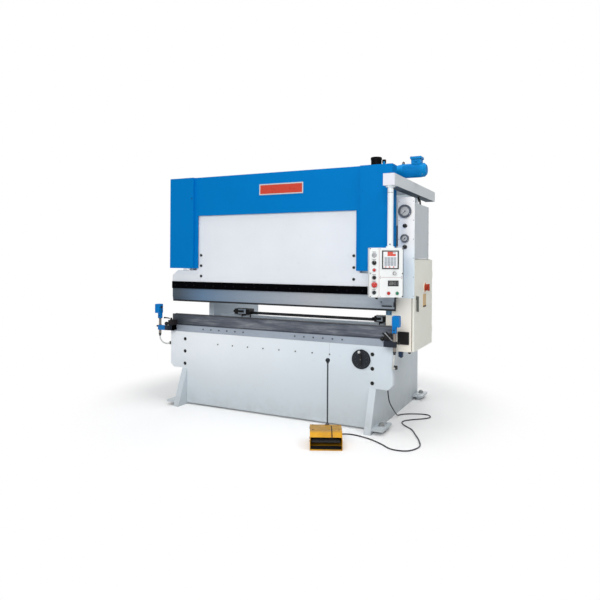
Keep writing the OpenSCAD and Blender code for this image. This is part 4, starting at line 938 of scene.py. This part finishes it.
def control_details():
    """Marks and grips on each turning or pressing control of the pendant."""
    x = BUTTON_X
    k = grip("key_selector")
    k.ring((x, -58.2, 1600), "Y", 16.4, 9, 0, -1.6, chrome, 36)
    k.tube([(x, -72, 1600), (x, -80, 1600)], 1.6, chrome, 10, 1)
    k.turned((x, -72, 1600), "Y", [(4, 0), (4, -3), (3, -4), (0, -4)], chrome, 16)
    k.done()
    k = grip("mode_selector")
    k.ring((x, -58.2, 1536), "Y", 16.4, 12, 0, -1.2, black_plastic, teeth=0.5)
    k.block((x - 1, -72.6, 1540), (x + 1, -71.6, 1549), white_mark, 0.2)
    k.done()
    for name, centre, r, mat in (("left_upper_button", (x, -63, 1411), 14, black_plastic),
                                 ("left_lower_button", (x, -63, 1286), 14, dark_plastic),
                                 ("stop_button", (-20.5, -61, 1280), 13, red_plastic),
                                 ("start_button", (51.5, -61, 1280), 13, green_plastic)):
        k = grip(name)
        k.turned(centre, "Y", [(r + 0.2, 4), (r + 0.3, 0.6), (r - 1.2, -0.8), (r - 4, -1.2), (r - 6, -0.7),
                               (0, -0.3)], mat, 40)
        k.done()
    k = grip("emergency_stop")
    k.turned((x, -76, 1351), "Y", [(23.4, 9), (23.6, 1), (20.5, -2.6), (12, -4), (0, -4.2)], red_plastic, 48, 0.35)
    k.turned((x, -60, 1351), "Y", [(10.5, 0), (10.5, 4.4), (9, 4.4)], yellow_paint)
    k.wheel((30, 150, 270), "Y", (x, 0, 1351), (x + 10, -80.7, 1350.2), (x + 16, -79.6, 1351.8), white_mark, 0.2)
    k.done()
    k = grip("speed_knob")
    k.ring((28.5, -50.8, 1448), "Y", 13.5, 10, 0, -15, grey_plastic, 56, teeth=0.6)
    k.turned((28.5, -67.9, 1448), "Y", [(12.4, 0), (11.4, -1.2), (0, -1.5)], silver, 36)
    k.block((28, -69.8, 1451), (29, -69.2, 1459), seam_dark, 0.15)
    k.done()


# ---- Gauges and electric cabinet ----

def gauge_face(k, x, y, z, r, labels):
    """One pressure gauge's ring, scale, red band and glass, on a panel at y."""
    rim, f = r * 0.73, y - 5.6
    k.ring((x, y, z), "Y", r + 1.6, rim, -18, -26.5, bezel_grey, 64, chamfer=1.6)
    k.ring((x, y, z), "Y", r + 0.8, r - 2, -1, -18, bezel_grey, 64, chamfer=0.6)
    # painted shade: a dark ring at the bezel's inner edge, where shade falls
    k.ring((x, y, z), "Y", rim + 1.5, rim - 1.2, -19, -24.5, dark_plastic, 64, chamfer=0.6)
    k.disc((x, y - 5.0, z), "Y", r - 6.4, 0, -0.6, dial_white, 56)
    marks = range(31)
    for some, length, half in ((marks[::5], 0.2, 0.9), ([n for n in marks if n % 5], 0.12, 0.45)):
        k.wheel([-135 + 9 * n for n in some], "Y", (x, f, z), (x - half, f - 0.35, z + rim - 3 - rim * length),
                (x + half, f + 0.1, z + rim - 3), seam_dark, 0)
    for n, text in enumerate(labels):
        a, d = math.radians(-135 + 270 * n / (len(labels) - 1)), rim * 0.6
        k.number(text, (x + d * math.sin(a), f, z + d * math.cos(a)), r * 0.13, seam_dark, 0.3)
    k.wheel(range(102, 134, 4), "Y", (x, f, z), (x - 1.6, f - 0.3, z + rim - 2.6), (x + 1.6, f + 0.1, z + rim - 1),
            red_enamel, 0)
    k.turned((x, y - 22.6, z), "Y", [(4.4, 1.6), (4.4, 0), (3.2, -0.9), (0, -1)], black_plastic, 24)
    k.turned((x, y - 21.2, z), "Y", [(rim + 1, 0), (rim + 1, -1.4), (0, -1.7)], gauge_glass, 56)
    for a, b in around(3, r - 3, 90):
        k.screws(x + a, y - 26.3, z + b, "Y", 2.0, chrome, dome=True, sides=12)


def gauge_details():
    k = Kit("gauge_details", "machine")
    lo, hi = box_of("pressure_gauges")
    panel_lo, panel_hi = box_of("gauge_panel")
    x, y = 1328, panel_lo.y
    gauge_face(k, x, y, hi.z - 59, 59, ("0", "10", "20", "30", "40"))
    gauge_face(k, x, y, lo.z + 37, 37, ("0", "16", "32"))
    k.screws((panel_lo.x + 9, panel_hi.x - 9), y, spread(panel_lo.z + 20, panel_hi.z - 40, 6), "Y", 3.4, dull_zinc,
             dome=True, sides=16)
    lo, hi = box_of("gauge_box")
    for z in (hi.z - 26, lo.z + 34):
        k.turned((hi.x, lo.y + 9, z), "X", [(5.4, 0), (5.4, 2.6), (4, 4), (0, 4.2)], black_plastic, 20)
    k.screws(hi.x, hi.y - 12, [lo.z + 30 + n * 110 for n in range(5)], "X", 3.6, dull_zinc, 1, sides=16)
    k.plates("X", hi.x - 0.3, hi.x + 0.6, seam_grey, 0.1,
             (lo.y + 3.4, lo.z + 1, lo.y + 4.6, hi.z - 1), (hi.y - 26, lo.z + 1, hi.y - 25, hi.z - 1))
    # painted shade: dark strips stand for the vent slots, where shade falls
    k.plates("Y", hi.y - 0.3, hi.y + 1.2, seam_dark, 0.4,
             *((hi.x - 115 + n * 10, hi.z - 130, hi.x - 110 + n * 10, hi.z - 60) for n in range(9)))
    k.tube([(1340, hi.y - 60, hi.z), (1340, hi.y - 60, hi.z + 30), (1330, hi.y - 40, hi.z + 75),
            (1316, hi.y - 20, 2150), (1310, hi.y - 10, 2192)], 9, hose_black, 14, 6)
    k.turned((1340, hi.y - 60, hi.z), "Z", [(16, 0), (16, 8), (13, 10), (13, 18), (10, 22), (0, 22)], black_plastic, 6)
    knobs = {"upper_valve_knob": 1872, "lower_valve_knob": 1680}
    for z in knobs.values():
        k.ring((x, y, z), "Y", 20.5, 8, 0.2, -0.25, chrome, chamfer=0.1)
    k.done()
    for name, z in knobs.items():
        k = Kit(name + "_grip", name + "_body")
        k.ring((x, y - 24, z), "Y", 18.2, 12, 15, 1.5, black_plastic, 56, teeth=1.1)
        k.turned((x, y - 24, z), "Y", [(16.6, 0), (16.2, -1.6), (13, -2.4), (12, -1.6), (0, -1.4)], black_plastic, 40)
        k.block((x - 0.8, y - 26.6, z + 7), (x + 0.8, y - 26, z + 14), white_mark, 0.2)
        k.done()


def cabinet_details():
    k = Kit("cabinet_details", "machine")
    front, base, top, side = 110, 725, 1571, 1390
    y0, y1 = front + 5, front + 685
    k.plates("X", side - 3, side + 5.3, gasket, 1.2,
             (y0, base + 8, y0 + 14, top - 8), (y1 - 14, base + 8, y1, top - 8),
             (y0 + 13, base + 8, y1 - 13, base + 20), (y0 + 13, top - 20, y1 - 13, top - 8))
    x0, x1, z0, z1, face = 1266, 1369, 793, 907, 98
    k.plates("Y", face - 3, front - 0.2, black_plastic, 1.2,
             (x0 - 1, z0 - 1, x1 + 1, z0 + 9), (x0 - 1, z1 - 9, x1 + 1, z1 + 1),
             (x0 - 1, z0 + 8, x0 + 8, z1 - 8), (x1 - 8, z0 + 8, x1 + 1, z1 - 8))
    k.block((x0 + 6, face - 0.5, z0 + 6), (x1 - 6, face + 1, z1 - 6), black_plastic, 0.3)
    for n in range(9):
        z = z0 + 14 + n * 10.4
        k.block((x0 + 7, face - 2.8, z - 1), (x1 - 7, face - 0.2, z + 2.6), black_plastic, 0.5, (18, "X", (0, face, z)))
    k.screws((x0 + 4, x1 - 4), face - 3, (z0 + 4, z1 - 4), "Y", 2.6, dull_zinc, dome=True, sides=14)
    k.block((1268, 118, 672), (1306, 150, 726), navy_plastic, 3)
    k.block((1266, 116, 704), (1308, 152, 712), navy_plastic, 2)
    k.turned((1289, 134, 672), "Z", [(8, 0), (8, -5), (6, -8), (0, -8)], black_plastic, 20)
    k.turned((1366, 136, base), "Z", [(15, 0), (15, -7), (13, -9), (13, -14), (9, -18), (0, -18)], black_plastic, 6)
    for y in (300, 380, 460):
        k.turned((1300, y, base), "Z", [(14, 0), (14, -7), (12, -9), (12, -15), (0, -17)], black_plastic, 6)
    for x, y in ((1174, front + 30), (1118, front + 660), (1372, front + 30), (1372, front + 660)):
        k.screws(x, y, top, "Z", 7, black_plastic, 1)
    # painted shade: a blue-grey plate with screws, put where the frame's throat edge lies in shade under the punch
    k.block((1152, front - 5, 1052), (1206, front + 0.3, 1092), throat_shade_blue, 1.5)
    k.screws((1162, 1196), front - 5, 1072, "Y", 5, black_plastic, sides=18)
    for z in (base + 182, top - 118):
        k.turned((1408, 812, z), "Z", [(4.6, -1), (4.6, 1.4), (3.4, 2.4), (0, 2.4)], zinc, 16)
    # painted shade: dark strips stand for the vent slots, where shade falls
    k.plates("Y", front + 689.7, front + 691.6, seam_dark, 0.4,
             *((1130 + n * 14, top - 150, 1137 + n * 14, top - 60) for n in range(12)))
    k.turned((1162, 140, 711), "Z", [(14.5, 14), (14.5, 4), (12, 0), (11.6, -4), (11.6, -8),
                                     *((11.2 - n * 0.52 - (0.7 if n % 2 else 0), -9 - n * 4) for n in range(9)),
                                     (6.2, -44), (5.4, -45)], black_plastic, 28)
    k.done()


def door_details():
    k = Kit("door_details", "door")
    face = 1415
    y0, y1, z0, z1 = 112, 798, 731, 1565
    sy, sz = 490, 1300
    y, z = 187, 1215
    k.ring((face, y, z), "X", 19, 8, 0, 0.25, black_plastic, 36, chamfer=0.1)
    k.ring((face, sy, sz), "X", 45, 35, 5, 7.4, ring_orange, 56)
    k.disc((face + 6, sy, sz), "X", 35, 0, 0.8, pale_plate, 48)
    for a, b in around(4, 33, 45):
        k.screws(face + 6.6, sy + a, sz + b, "X", 2.0, dull_zinc, 1, dome=True, sides=12)
    k.block((face - 0.2, 431, 1111), (face + 2.4, 542, 1235), rating_tan)
    k.block((face + 2, 434, 1113), (face + 3.4, 539, 1127), seam_dark, 0.3)
    k.block((face + 2, 440, 1140), (face + 2.9, 533, 1226), brass_strip, 0.3)
    k.screws(face + 2.4, (437, 536), (1134, 1230), "X", 1.8, dull_zinc, 1, dome=True, sides=12)
    lip, edge = 0.5, 1.7
    k.plates("X", face - 2, face + lip, door_cream, 0.4,
             (y0 - lip, z0 - lip, y1 + lip, z0 + edge), (y0 - lip, z1 - edge, y1 + lip, z1 + lip),
             (y0 - lip, z0 - lip, y0 + edge, z1 + lip), (y1 - edge, z0 - lip, y1 + lip, z1 + lip))
    for lock in (1500, 800):
        k.turned((face, y0 + 24, lock), "X", [(9, 0), (9, 1.5), (7.5, 2.8), (0, 3)], door_cream, 28)
        k.block((face + 2.6, y0 + 23, lock - 4), (face + 3.4, y0 + 25, lock + 4), seam_grey, 0.2)
    k.done()

    k = Kit("door_handle_grip", "door_handle_body")
    x = box_of("door_handle")[1].x
    k.prism([(y - 8, z), (y - 6, z - 122), (y, z - 127), (y + 6, z - 122), (y + 8, z), (y, z + 10)], "X",
            x - 8, x + 3.5, handle_dark, 2.4)
    k.turned((x - 4, y, z), "X", [(15, -6), (15, 4), (12, 7.5), (6, 9), (0, 9)], handle_dark)
    k.turned((x - 4, y, z - 116), "X", [(11, -4), (11, 4), (8, 8), (0, 8.6)], handle_dark, 24)
    k.disc((x + 4.8, y, z), "X", 4, 0, 0.8, chrome, 20)
    k.done()

    k = Kit("isolator_grip", "isolator_switch_body")
    x = box_of("isolator_switch")[1].x
    k.prism([(sy - 12, sz - 28), (sy - 8, sz - 33), (sy + 8, sz - 33), (sy + 12, sz - 28), (sy + 10, sz + 28),
             (sy + 5, sz + 33), (sy - 5, sz + 33), (sy - 10, sz + 28)], "X", x - 12, x + 3, switch_red, 2.6)
    k.ring((x - 13, sy, sz), "X", 31.4, 22, -26, 1.2, switch_red, 56, teeth=0.9)
    k.block((x + 2.4, sy - 1, sz + 14), (x + 3.6, sy + 1, sz + 28), white_mark, 0.2)
    k.disc((x + 1, sy, sz - 21), "X", 4.2, 0, 2.4, seam_dark, 16)
    k.done()


# ---- Crowning dial and light guards ----

def dial_details():
    k = Kit("crowning_dial_marks_and_highlight", "crowning_dial_body")
    lo, hi = box_of("crowning_dial")
    x, z = (lo.x + hi.x) / 2, (lo.z + hi.z) / 2
    face = -14.3
    k.ring((x, face, z), "Y", 90.2, 80, 13, -1.4, dial_black, 120, teeth=1.5, chamfer=1.2)
    k.turned((x, face, z), "Y", [(79.5, 0.3), (78.6, -0.5), (64, -0.5), (63, -1.4), (30, -1.8), (29, -1.2),
                                 (0, -1.2)], dial_black, 64)
    marks = range(60)
    for some, start in ((marks[::6], 67), ([n for n in marks if n % 6], 71)):
        k.wheel([6 * n for n in some], "Y", (x, face, z), (x - 0.45, face - 0.95, z + start),
                (x + 0.45, face - 0.35, z + 77), mark_grey, 0)
    for n in range(10):
        a = math.radians(36 * n)
        k.number(str(n), (x + 57 * math.sin(a), face - 1.3, z + 57 * math.cos(a)), 8.5, mark_grey, 0.35)
    k.prism([(x - 8, z - 54), (x - 4, z - 58), (x + 4, z - 58), (x + 8, z - 54), (x + 7.4, z + 50), (x - 7.4, z + 50)],
            "Y", lo.y + 6, face + 0.5, black_plastic, 2)
    k.turned((x, face - 12, z), "Y", [(15, 8), (15, 0), (12, -2.5), (0, -3)], black_plastic)
    k.turned((x, face - 15, z), "Y", [(6, 0.4), (6, -2), (4.6, -3), (0, -3)], dull_zinc, 6)
    # painted highlight: the dial's black knob gets a silver cap, which shows as a bright spot
    k.turned((x - 14, lo.y, z + 67), "Y", [(12.4, 21), (13, 14), (13, 2), (11, -2), (7, -3.2), (0, -3.4)], silver, 36)
    k.done()


POST_X, POST_Y, HOSE_TOP = 1302, -120, 745


def guard_head(side, name):
    k = Kit(name + "_lens", name + "_head_body")
    lo, hi = box_of(name + "_head")
    inner, outer = (hi.x, lo.x) if side < 0 else (lo.x, hi.x)
    out, z = -side, hi.z - 48
    y = (lo.y + hi.y) / 2
    k.block((inner, lo.y + 7, hi.z - 88), (inner + out * 1.6, hi.y - 7, hi.z - 8), guard_blue, 0.7)
    k.turned((inner, y, z + 16), "X", [(15, out * 1.4), (15, out * 4), (12, out * 5), (11, out * 3.4),
                                       (0, out * 2.6)], lens_dark, 40)
    k.turned((inner, y, z - 18), "X", [(7, out * 1.4), (7, out * 2.6), (0, out * 3)], lens_dark, 28)
    k.screws(outer + out * 2.2, (lo.y + 7, hi.y - 7), (hi.z - 88, hi.z - 7), "X", 3, dull_zinc, side, sides=14)
    k.screws((lo.x + 8, hi.x - 8), lo.y, (hi.z - 8, hi.z - 87), "Y", 2.6, dull_zinc, dome=True, sides=14)
    k.turned(((lo.x + hi.x) / 2, lo.y, hi.z - 20), "Y", [(3.2, 0), (3.2, -1.4), (0, -2.2)], green_plastic, 16)
    k.block((lo.x + 6, lo.y + 6, hi.z - 0.2), (hi.x - 6, hi.y - 6, hi.z + 2.4), guard_blue, 1.6)
    k.turned((side * POST_X, lo.y + 30, lo.z), "Z", [(19, 0), (19, 6), (17.6, 8)], black_plastic)
    k.turned((side * POST_X, lo.y + 9.6, lo.z + 28), "Y", [(6, 3.6), (6, -5), (4, -7), (0, -7)], black_plastic, 20)
    k.done()


def guard_bracket(side, name):
    k = Kit(name + "_bracket_details", "machine")
    x0, x1 = (-1222, -1172) if side < 0 else (1194, 1244)
    x = side * POST_X
    post = (x, POST_Y, 0)
    k.block((x0, -88, 846), (x1, -0.4, 899), bracket_dark, 3)
    k.block((x0 + 2, -86.6, 788), (x1 - 2, -0.4, 846), bracket_pair if side < 0 else navy_paint, 2)
    k.screws((x0 + 9, x1 - 9), -88, (858, 886), "Y", 4.6, black_steel)
    k.ring(post, "Z", 13.4, 11.05, 846, 915, post_steel, 36)
    k.ring(post, "Z", 15.6, 11.05, 845.5, 856, post_steel, 36, chamfer=1)
    k.ring(post, "Z", 14.2, 12.05, 748, 794, post_steel, 36)
    k.turned((x, POST_Y, HOSE_TOP), "Z", [(14.4, 14), (14.4, 2), (12, -1), (11, -2), (10.6, -12), (9, -15),
                                       (8.1, -15)], dark_plastic, 24)
    k.turned((x + side * 42, POST_Y, 833), "X", [(9.6, -side * 20), (9.6, side), (7, side * 3), (0, side * 3)],
             black_plastic, 24, teeth=0.5)
    if side < 0:
        k.tube([(-1222, -60, 915), (-1250, -60, 918), (-1288, -60, 919)], lambda t: 5.4 + 1.8 * t, black_plastic, 14)
        k.turned((-1292, -60, 919), "X", [(8.6, 6), (9.4, 0), (7.4, -5.6), (0, -7)], black_plastic, 20)
        k.turned((-1200, -60, 899), "Z", [(14, 0), (14, 8), (10, 12), (10, 22), (6, 24), (0, 24)], black_plastic, 20)
    else:
        k.tube([(1188, -93, 908), (1214, -98, 884), (1262, -104, 838)], lambda t: 7.4 - 1.4 * t, black_plastic, 14)
        k.tube([(1206, -95, 914), (1236, -100, 886), (1276, -106, 850)], 3.4, bare_steel)
        k.tube([(1222, -91, 918), (1254, -96, 890), (1290, -102, 858)], lambda t: 6 + 1.2 * t, black_plastic, 14)
        for x, z in ((1188, 908), (1222, 918)):
            k.turned((x, -93, z), "Y", [(8, 7), (8.6, 0), (6, -6), (0, -7)], black_plastic, 20)
    k.done()


def guard_details():
    for side, name in zip(SIDES, ("left_guard", "right_guard")):
        guard_head(side, name)
        guard_bracket(side, name)
        k = Kit(name + "_knob_cap", name + "_knob_body")
        k.turned((box_of(name + "_knob")[0].x + 21, -60, 856), "X",
                 [(8.6, 25), (11, 20), (17.4, 12.6), *ball(21.5, 58, 176), (0, -21.4)], black_plastic, 36)
        k.done()


# ---- Back gauge and the machine's back ----

RAIL_X = 650


def back_gauge_details():
    k = Kit("back_gauge_details", "back_gauge")
    lo = box_of("back_gauge_beam")[0]
    left, right = -658, 961
    k.block((left - 0.6, 564.4, 939.6), (right + 0.6, 589.6, 968.6), black_steel, 1.2)
    k.block((left, 563.6, 951), (right, 564.6, 956), dull_zinc, 0.3)
    for x, half in ((left, 95), (right, 55)):
        k.block((x - half - 1, 499, 942), (x - half * 0.5, 611, 999.6), black_steel, 3)
        k.block((x + half * 0.55, 499, 942), (x + half + 1, 611, 999.6), black_steel, 3)
        k.block((x - half * 0.52, 503, 939), (x + half * 0.57, 608, 1001), black_steel, 3)
        k.block((x - half - 1.5, 498.4, 936.5), (x + half + 1.5, 611.6, 946), black_steel, 1.5)
        k.block((x - half * 0.63, 497, 958), (x + half * 0.3, 502, 984), black_steel, 1)
        places = [x + share * half for share in (-0.82, -0.2, 0.2, 0.82)]
        k.screws(places, 498.6, 971, "Y", 6.4, black_steel)
        k.screws(places, 560, 1000, "Z", 6.4, black_steel, 1)
        k.turned((x - half - 1, 540, 968), "X", [(11, 0), (11, -12), (15, -16), (15, -30), (12, -34), (0, -34)],
                 black_plastic, 24, teeth=0.8)
        k.block((x - 21, 549, 919), (x + 21, 581, 946), black_steel, 1.5)
        for dx in (-0.25 * half, half - 8):
            k.tube([(x + dx, 545, 846), (x + dx, 545, 940)], 5, black_steel, 14, 1)
    k.screws(range(-900, 901, 150), lo.y + 60, 845, "Y", 6.5, dull_zinc)
    k.screws((-RAIL_X - 20, 20 - RAIL_X, RAIL_X - 20, RAIL_X + 20), (545, 640), 805.4, "Z", 5, black_steel, 1)
    k.done()


def back_gauge_drive():
    k = Kit("back_gauge_drive", "machine")
    lo, hi = box_of("back_gauge_rails")
    turns = int((hi.y - 60 - lo.y - 60) / 4)
    profile = [(9 - (n % 2) * 1.3, n * 4.0) for n in range(turns)]
    for x in (-RAIL_X, RAIL_X):
        for y, dx in each(spread(lo.y + 50, hi.y - 50, 16), (-14, 14)):
            k.turned((x + dx, y, hi.z), "Z", [(4.6, -0.1), (4.6, 0.15), (2.4, 0.15), (0, 0.15)], black_steel, 18)
        k.turned((x, lo.y + 60, 690), "Y", [(6, -10), *profile, (6, profile[-1][1] + 10)], bare_steel, 18)
        for y in (lo.y + 40, hi.y - 60):
            k.block((x - 28, y, 664), (x + 28, y + 30, 716), black_steel, 3)
            k.turned((x, y, 690), "Y", [(17, -3), (17, 0)], zinc, 28)
        k.turned((x, hi.y - 24, 690), "Y", [(34, 0), (34, 22), (30, 23), (12, 23), (0, 23)], black_steel, 56, 1.4)
    k.plates("Y", hi.y - 19, hi.y - 7, hose_black, 0.8, (-668, 722, 668, 725.5), (-668, 654.5, 668, 658))
    k.done()


def back_details():
    k = Kit("tie_details", "machine")
    y = box_of("cross_ties")[1].y
    for a, b in ((120, 775), (1400, 1900)):
        for side, (z, up) in each(SIDES, ((a, 1), (b, -1))):
            k.prism([(side * 1030, z + up * 4), (side * 990, z + up * 4), (side * 990, z + up * 60),
                     (side * 1030, z + up * 100)], "Y", y, y + 12, frame_paint, 1)
        k.plates("Y", y - 0.3, y + 26, frame_paint, 2,
                 *((x - 6, a + 30, x + 6, b - 30) for x in (-700, -233, 233, 700)))
    # painted shade: a dark disc fills each hole in the cross ties, where shade falls
    for x in (-480, 480):
        k.ring((x, y - 2, 1650), "Y", 52, 40, 0, 8, frame_paint, 48, chamfer=2)
        k.disc((x, y - 3, 1650), "Y", 40, 0, 3.4, seam_dark, 40)
    z = box_of("side_frames")[1].z - 110
    # painted shade: a dark disc fills each lifting hole, where shade falls
    for side, y in each(SIDES, (400, 1360)):
        rim = ((34, -0.4), (34, 5), (30, 7), (20, 7), (20, 1), (0, 1))
        k.turned((side * 1094, y, z), "X", [(r, side * h) for r, h in rim], frame_paint, 40)
        k.disc((side * 1094.5, y, z), "X", 19.6, 0, side * 1.4, seam_dark)
    k.tube([(-300, 595, 2008), (-300, 640, 1990), (-320, 700, 1930), (-420, 900, 1900), (-600, 1150, 1906),
            (-700, 1300, 1906), (-760, 1352, 1880), (-760, 1352, 1700), (-760, 1352, 1500)], 12, hose_black, 14, 8)
    k.turned((-760, 1352, 1500), "Z", [(16, 16), (16, 0), (13, -2), (0, -2)], zinc, 6)
    k.block((-800, 1330, 1404), (-720, 1378, 1500), black_steel, 4)
    k.done()


# ---- Foot pedal ----

def pedal_details():
    k = Kit("pedal_details", "machine", PEDAL)
    x, y, half, top = 16, 90, 134, 144
    knob = box_of("pedal_guard")[1].z - 19
    k.tube([(x, y, top + 15), (x, y, (top + 15 + knob) / 2), (x, y, knob - 12)], 6.7, rod_dark, 18, 2)
    k.turned((x, y, knob), "Z", [(9, -26), (11, -20), (11, -17.5), *((r, -h) for r, h in ball(19.6, 36, 174)),
                                 (0, 19.5)], dial_black, 36)
    k.ring((x, y, 0), "Z", 15.6, 6.8, top, top + 16.4, dull_zinc, 32, chamfer=1.4)
    k.ring((x, y, 0), "Z", 22, 14, top - 0.2, top + 3, pedal_enamel, 36, chamfer=1)
    for side in SIDES:
        k.turned((side * half, y, 34), "X", [(9, 0), (9, side * 2.4), (6, side * 4), (0, side * 4)], dull_zinc, 24)
        for back, z in ((-100, 66), (60, 122), (110, 116)):
            k.screws(side * half, back, z, "X", 4.4, black_steel, side, sides=18)
    k.screws((-108, 108), (-52, 86), top, "Z", 5, black_steel, 1, sides=20)
    # painted shade: a dark strip stands for the slot across the hood's top and front, where shade falls
    k.block((44, -70.4, top - 0.4), (53, 60, top + 0.9), seam_dark, 0.4)
    k.prism([(-140.9, 93.5), (-139.2, 93.5), (-69.4, top - 0.6), (-69.9, top + 0.9)], "X", 44, 53, seam_dark, 0.3)
    for a, b in each((-118, 118), (-118, 118)):
        k.disc((a, b, 0), "Z", 11, 0.1, 1.4, black_plastic, 24)
    k.block((-129, -137, 9.6), (129, -52, 11.4), black_plastic, 0.6)
    k.plates("Z", 11, 12.6, black_plastic, 0.5, *((-124, -134 + n * 9, 124, -130 + n * 9) for n in range(9)))
    k.ring((0, 136, 30), "Y", 13.5, 9.6, 0, 6, black_plastic, 32)
    k.done()

    k = Kit("treadle_pad", "pedal_treadle_body", PEDAL)
    slope = (-8, "X", (0, 90, 34))
    k.block((-118, -97, 39.6), (118, 60, 42.4), black_plastic, 0.9, slope)
    for n in range(15):
        k.block((-114, -92 + n * 10, 42), (114, -86.5 + n * 10, 44.6), black_plastic, 0.8, slope)
    k.screws((-104, 104), 72, 40, "Z", 5, dull_zinc, 1, sides=18)
    k.done()


# ---- Cords and hoses ----

CORD_ROUTE = [
    (1162, 140, 711), (1162, 140, 600), (1162, 140, 480), (1162, 142, 385), (1162, 160, 300),
    (1160, 210, 225), (1152, 320, 148), (1142, 450, 70), (1134, 550, 20), (1142, 615, 6), (1180, 665, 6),
    (1245, 705, 6), (1330, 740, 6), (1400, 735, 6), (1434, 680, 6), (1412, 610, 6),
    (1298, 500, 6), (1240, 425, 6), (1240, 350, 6), (1285, 280, 6), (1380, 180, 6),
    (1445, 55, 6), (1520, -105, 6), (1560, -260, 6), (1500, -400, 6), (1370, -420, 6),
    (1250, -330, 6), (1120, -250, 6), (990, -208, 6), (900, -210, 6), (840, -250, 6),
    (800, -310, 6), (784, -360, 12), (779, -402, 24), (777, -428, 30),
]
LEFT_HOSE = [
    (0, 0, 0), (0, 0, -18), (-2, 3, -41), (-6, 12, -63), (-13, 26, -82),
    (-21, 45, -96), (-28, 67, -105), (-32, 90, -108), (-34, 115, -108),
]
RIGHT_HOSE = [
    (0, 0, 0), (-2, 0, -33), (-6, 0, -65), (-11, 3, -88), (-16, 12, -110),
    (-22, 26, -129), (-27, 45, -143), (-31, 67, -152), (-33, 90, -155), (-34, 115, -155),
]
CORD_LOW = 5.7


def make_pedal_cord():
    route = [Vector((p.x, p.y, max(p.z, CORD_LOW))) for p in catmull(CORD_ROUTE, 6)]
    curve = bpy.data.curves.new("pedal_cord_sheath", "CURVE")
    curve.dimensions = "3D"
    curve.bevel_depth = 0.0055
    curve.bevel_resolution = 5
    spline = curve.splines.new("POLY")
    spline.points.add(len(route) - 1)
    for p, q in zip(spline.points, route):
        p.co = (*at(*q), 1)
    curve.materials.append(cord_rubber)
    cord = add("pedal_cord_sheath", curve)
    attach(cord, "machine")
    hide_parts("pedal_cord")
    boot = [p for p in route[::-1] if 6 < (p - route[-1]).length < 56]
    k = Kit("pedal_cord_boot", "machine")
    k.tube(boot, lambda t: 9.2 - 2.9 * t - (0.7 if int(t * 24) % 2 else 0), black_plastic, 20, 3)
    k.done()


def make_hose(name, side, points):
    start = Vector((side * POST_X, POST_Y, HOSE_TOP))
    route = [start + Vector((side * p.x, p.y, p.z)) for p in catmull(points, 40)]
    even = [route[0]]
    for p in route[1:]:
        if (p - even[-1]).length >= 0.9:
            even.append(p)
    even[-1] = route[-1]
    last = len(even) - 1
    k = Kit(name + "_sheath", "machine")
    k.tube(even, lambda t: 8.0 if round(t * last) % 6 < 3 else 7.2, hose_rubber, 16, 1)
    hose = k.done()
    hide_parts(name)


for make in (cover_details, ram_details, bed_details, foot_details, cylinder_details, tank_details, cap_details,
             motor_details, arm_details, pendant_details, screen_details, pole_details, control_details,
             gauge_details, cabinet_details, door_details, dial_details, guard_details, back_gauge_details,
             back_gauge_drive, back_details, pedal_details, make_pedal_cord):
    make()
make_hose("left_guard_hose", -1, LEFT_HOSE)
make_hose("right_guard_hose", 1, RIGHT_HOSE)

# ---- Floor, backdrop and light ----

FLOOR_HALF = 30
FLOOR_GREY = (0.62, 0.62, 0.62, 1)
WHITE = (1, 1, 1, 1)
FADE_START, FADE_END = 1.7, 2.5
WORLD_LIGHT = 0.38


def make_stage():
    """A floor that fades to white away from the machine, and an even white world."""
    mesh = bpy.data.meshes.new("floor")
    corners = [(x * FLOOR_HALF, y * FLOOR_HALF, 0) for x, y in ((-1, -1), (1, -1), (1, 1), (-1, 1))]
    mesh.from_pydata(corners, [], [(0, 1, 2, 3)])
    s = Shader("floor", 0.9, 0)
    s.set(("Base Color", s.mix(s.seen(), FLOOR_GREY, WHITE)))
    reach = s.node("VectorMath", (0, s.node("NewGeometry").outputs["Position"]), operation="LENGTH")
    far = s.math("MULTIPLY", s.span(reach.outputs["Value"], FADE_START, FADE_END, smooth=True), s.seen())
    white = s.node("Emission", ("Color", WHITE))
    blend = s.node("MixShader", (0, far), (1, s.bsdf.outputs[0]), (2, white.outputs[0]))
    s.put(s.find("OUTPUT_MATERIAL").inputs["Surface"], blend.outputs[0])
    mesh.materials.append(s.mat)
    floor = add("floor", mesh)

    scene.world = bpy.data.worlds.new("studio")
    scene.world.use_nodes = True
    w = Nodes(scene.world.node_tree)
    back = w.find("BACKGROUND")
    w.put(back.inputs["Color"], WHITE)
    w.put(back.inputs["Strength"], w.span(w.seen(), 0, 1, WORLD_LIGHT, 1.0))


def area_light(name, place, target, size, power):
    data = bpy.data.lights.new(name, "AREA")
    data.shape = "RECTANGLE"
    data.size, data.size_y = size
    data.energy = power
    lamp = add(name, data)
    lamp.location = place
    lamp.rotation_euler = (Vector(target) - Vector(place)).to_track_quat("-Z", "Y").to_euler()


make_stage()
area_light("key", (2.5, -8.8, 4.2), (0.2, 0, 1.1), (5, 3.5), 395)
area_light("top", (0.3, -1.0, 7.5), (0, 0, 0.5), (4, 3), 170)
area_light("right", (5.2, -1.6, 6.2), (0.8, 0, 1.0), (3, 3), 90)
area_light("rear", (-2.0, 7.5, 4.5), (0, 0, 1.2), (5, 4), 150)
scene.view_settings.view_transform = "Standard"
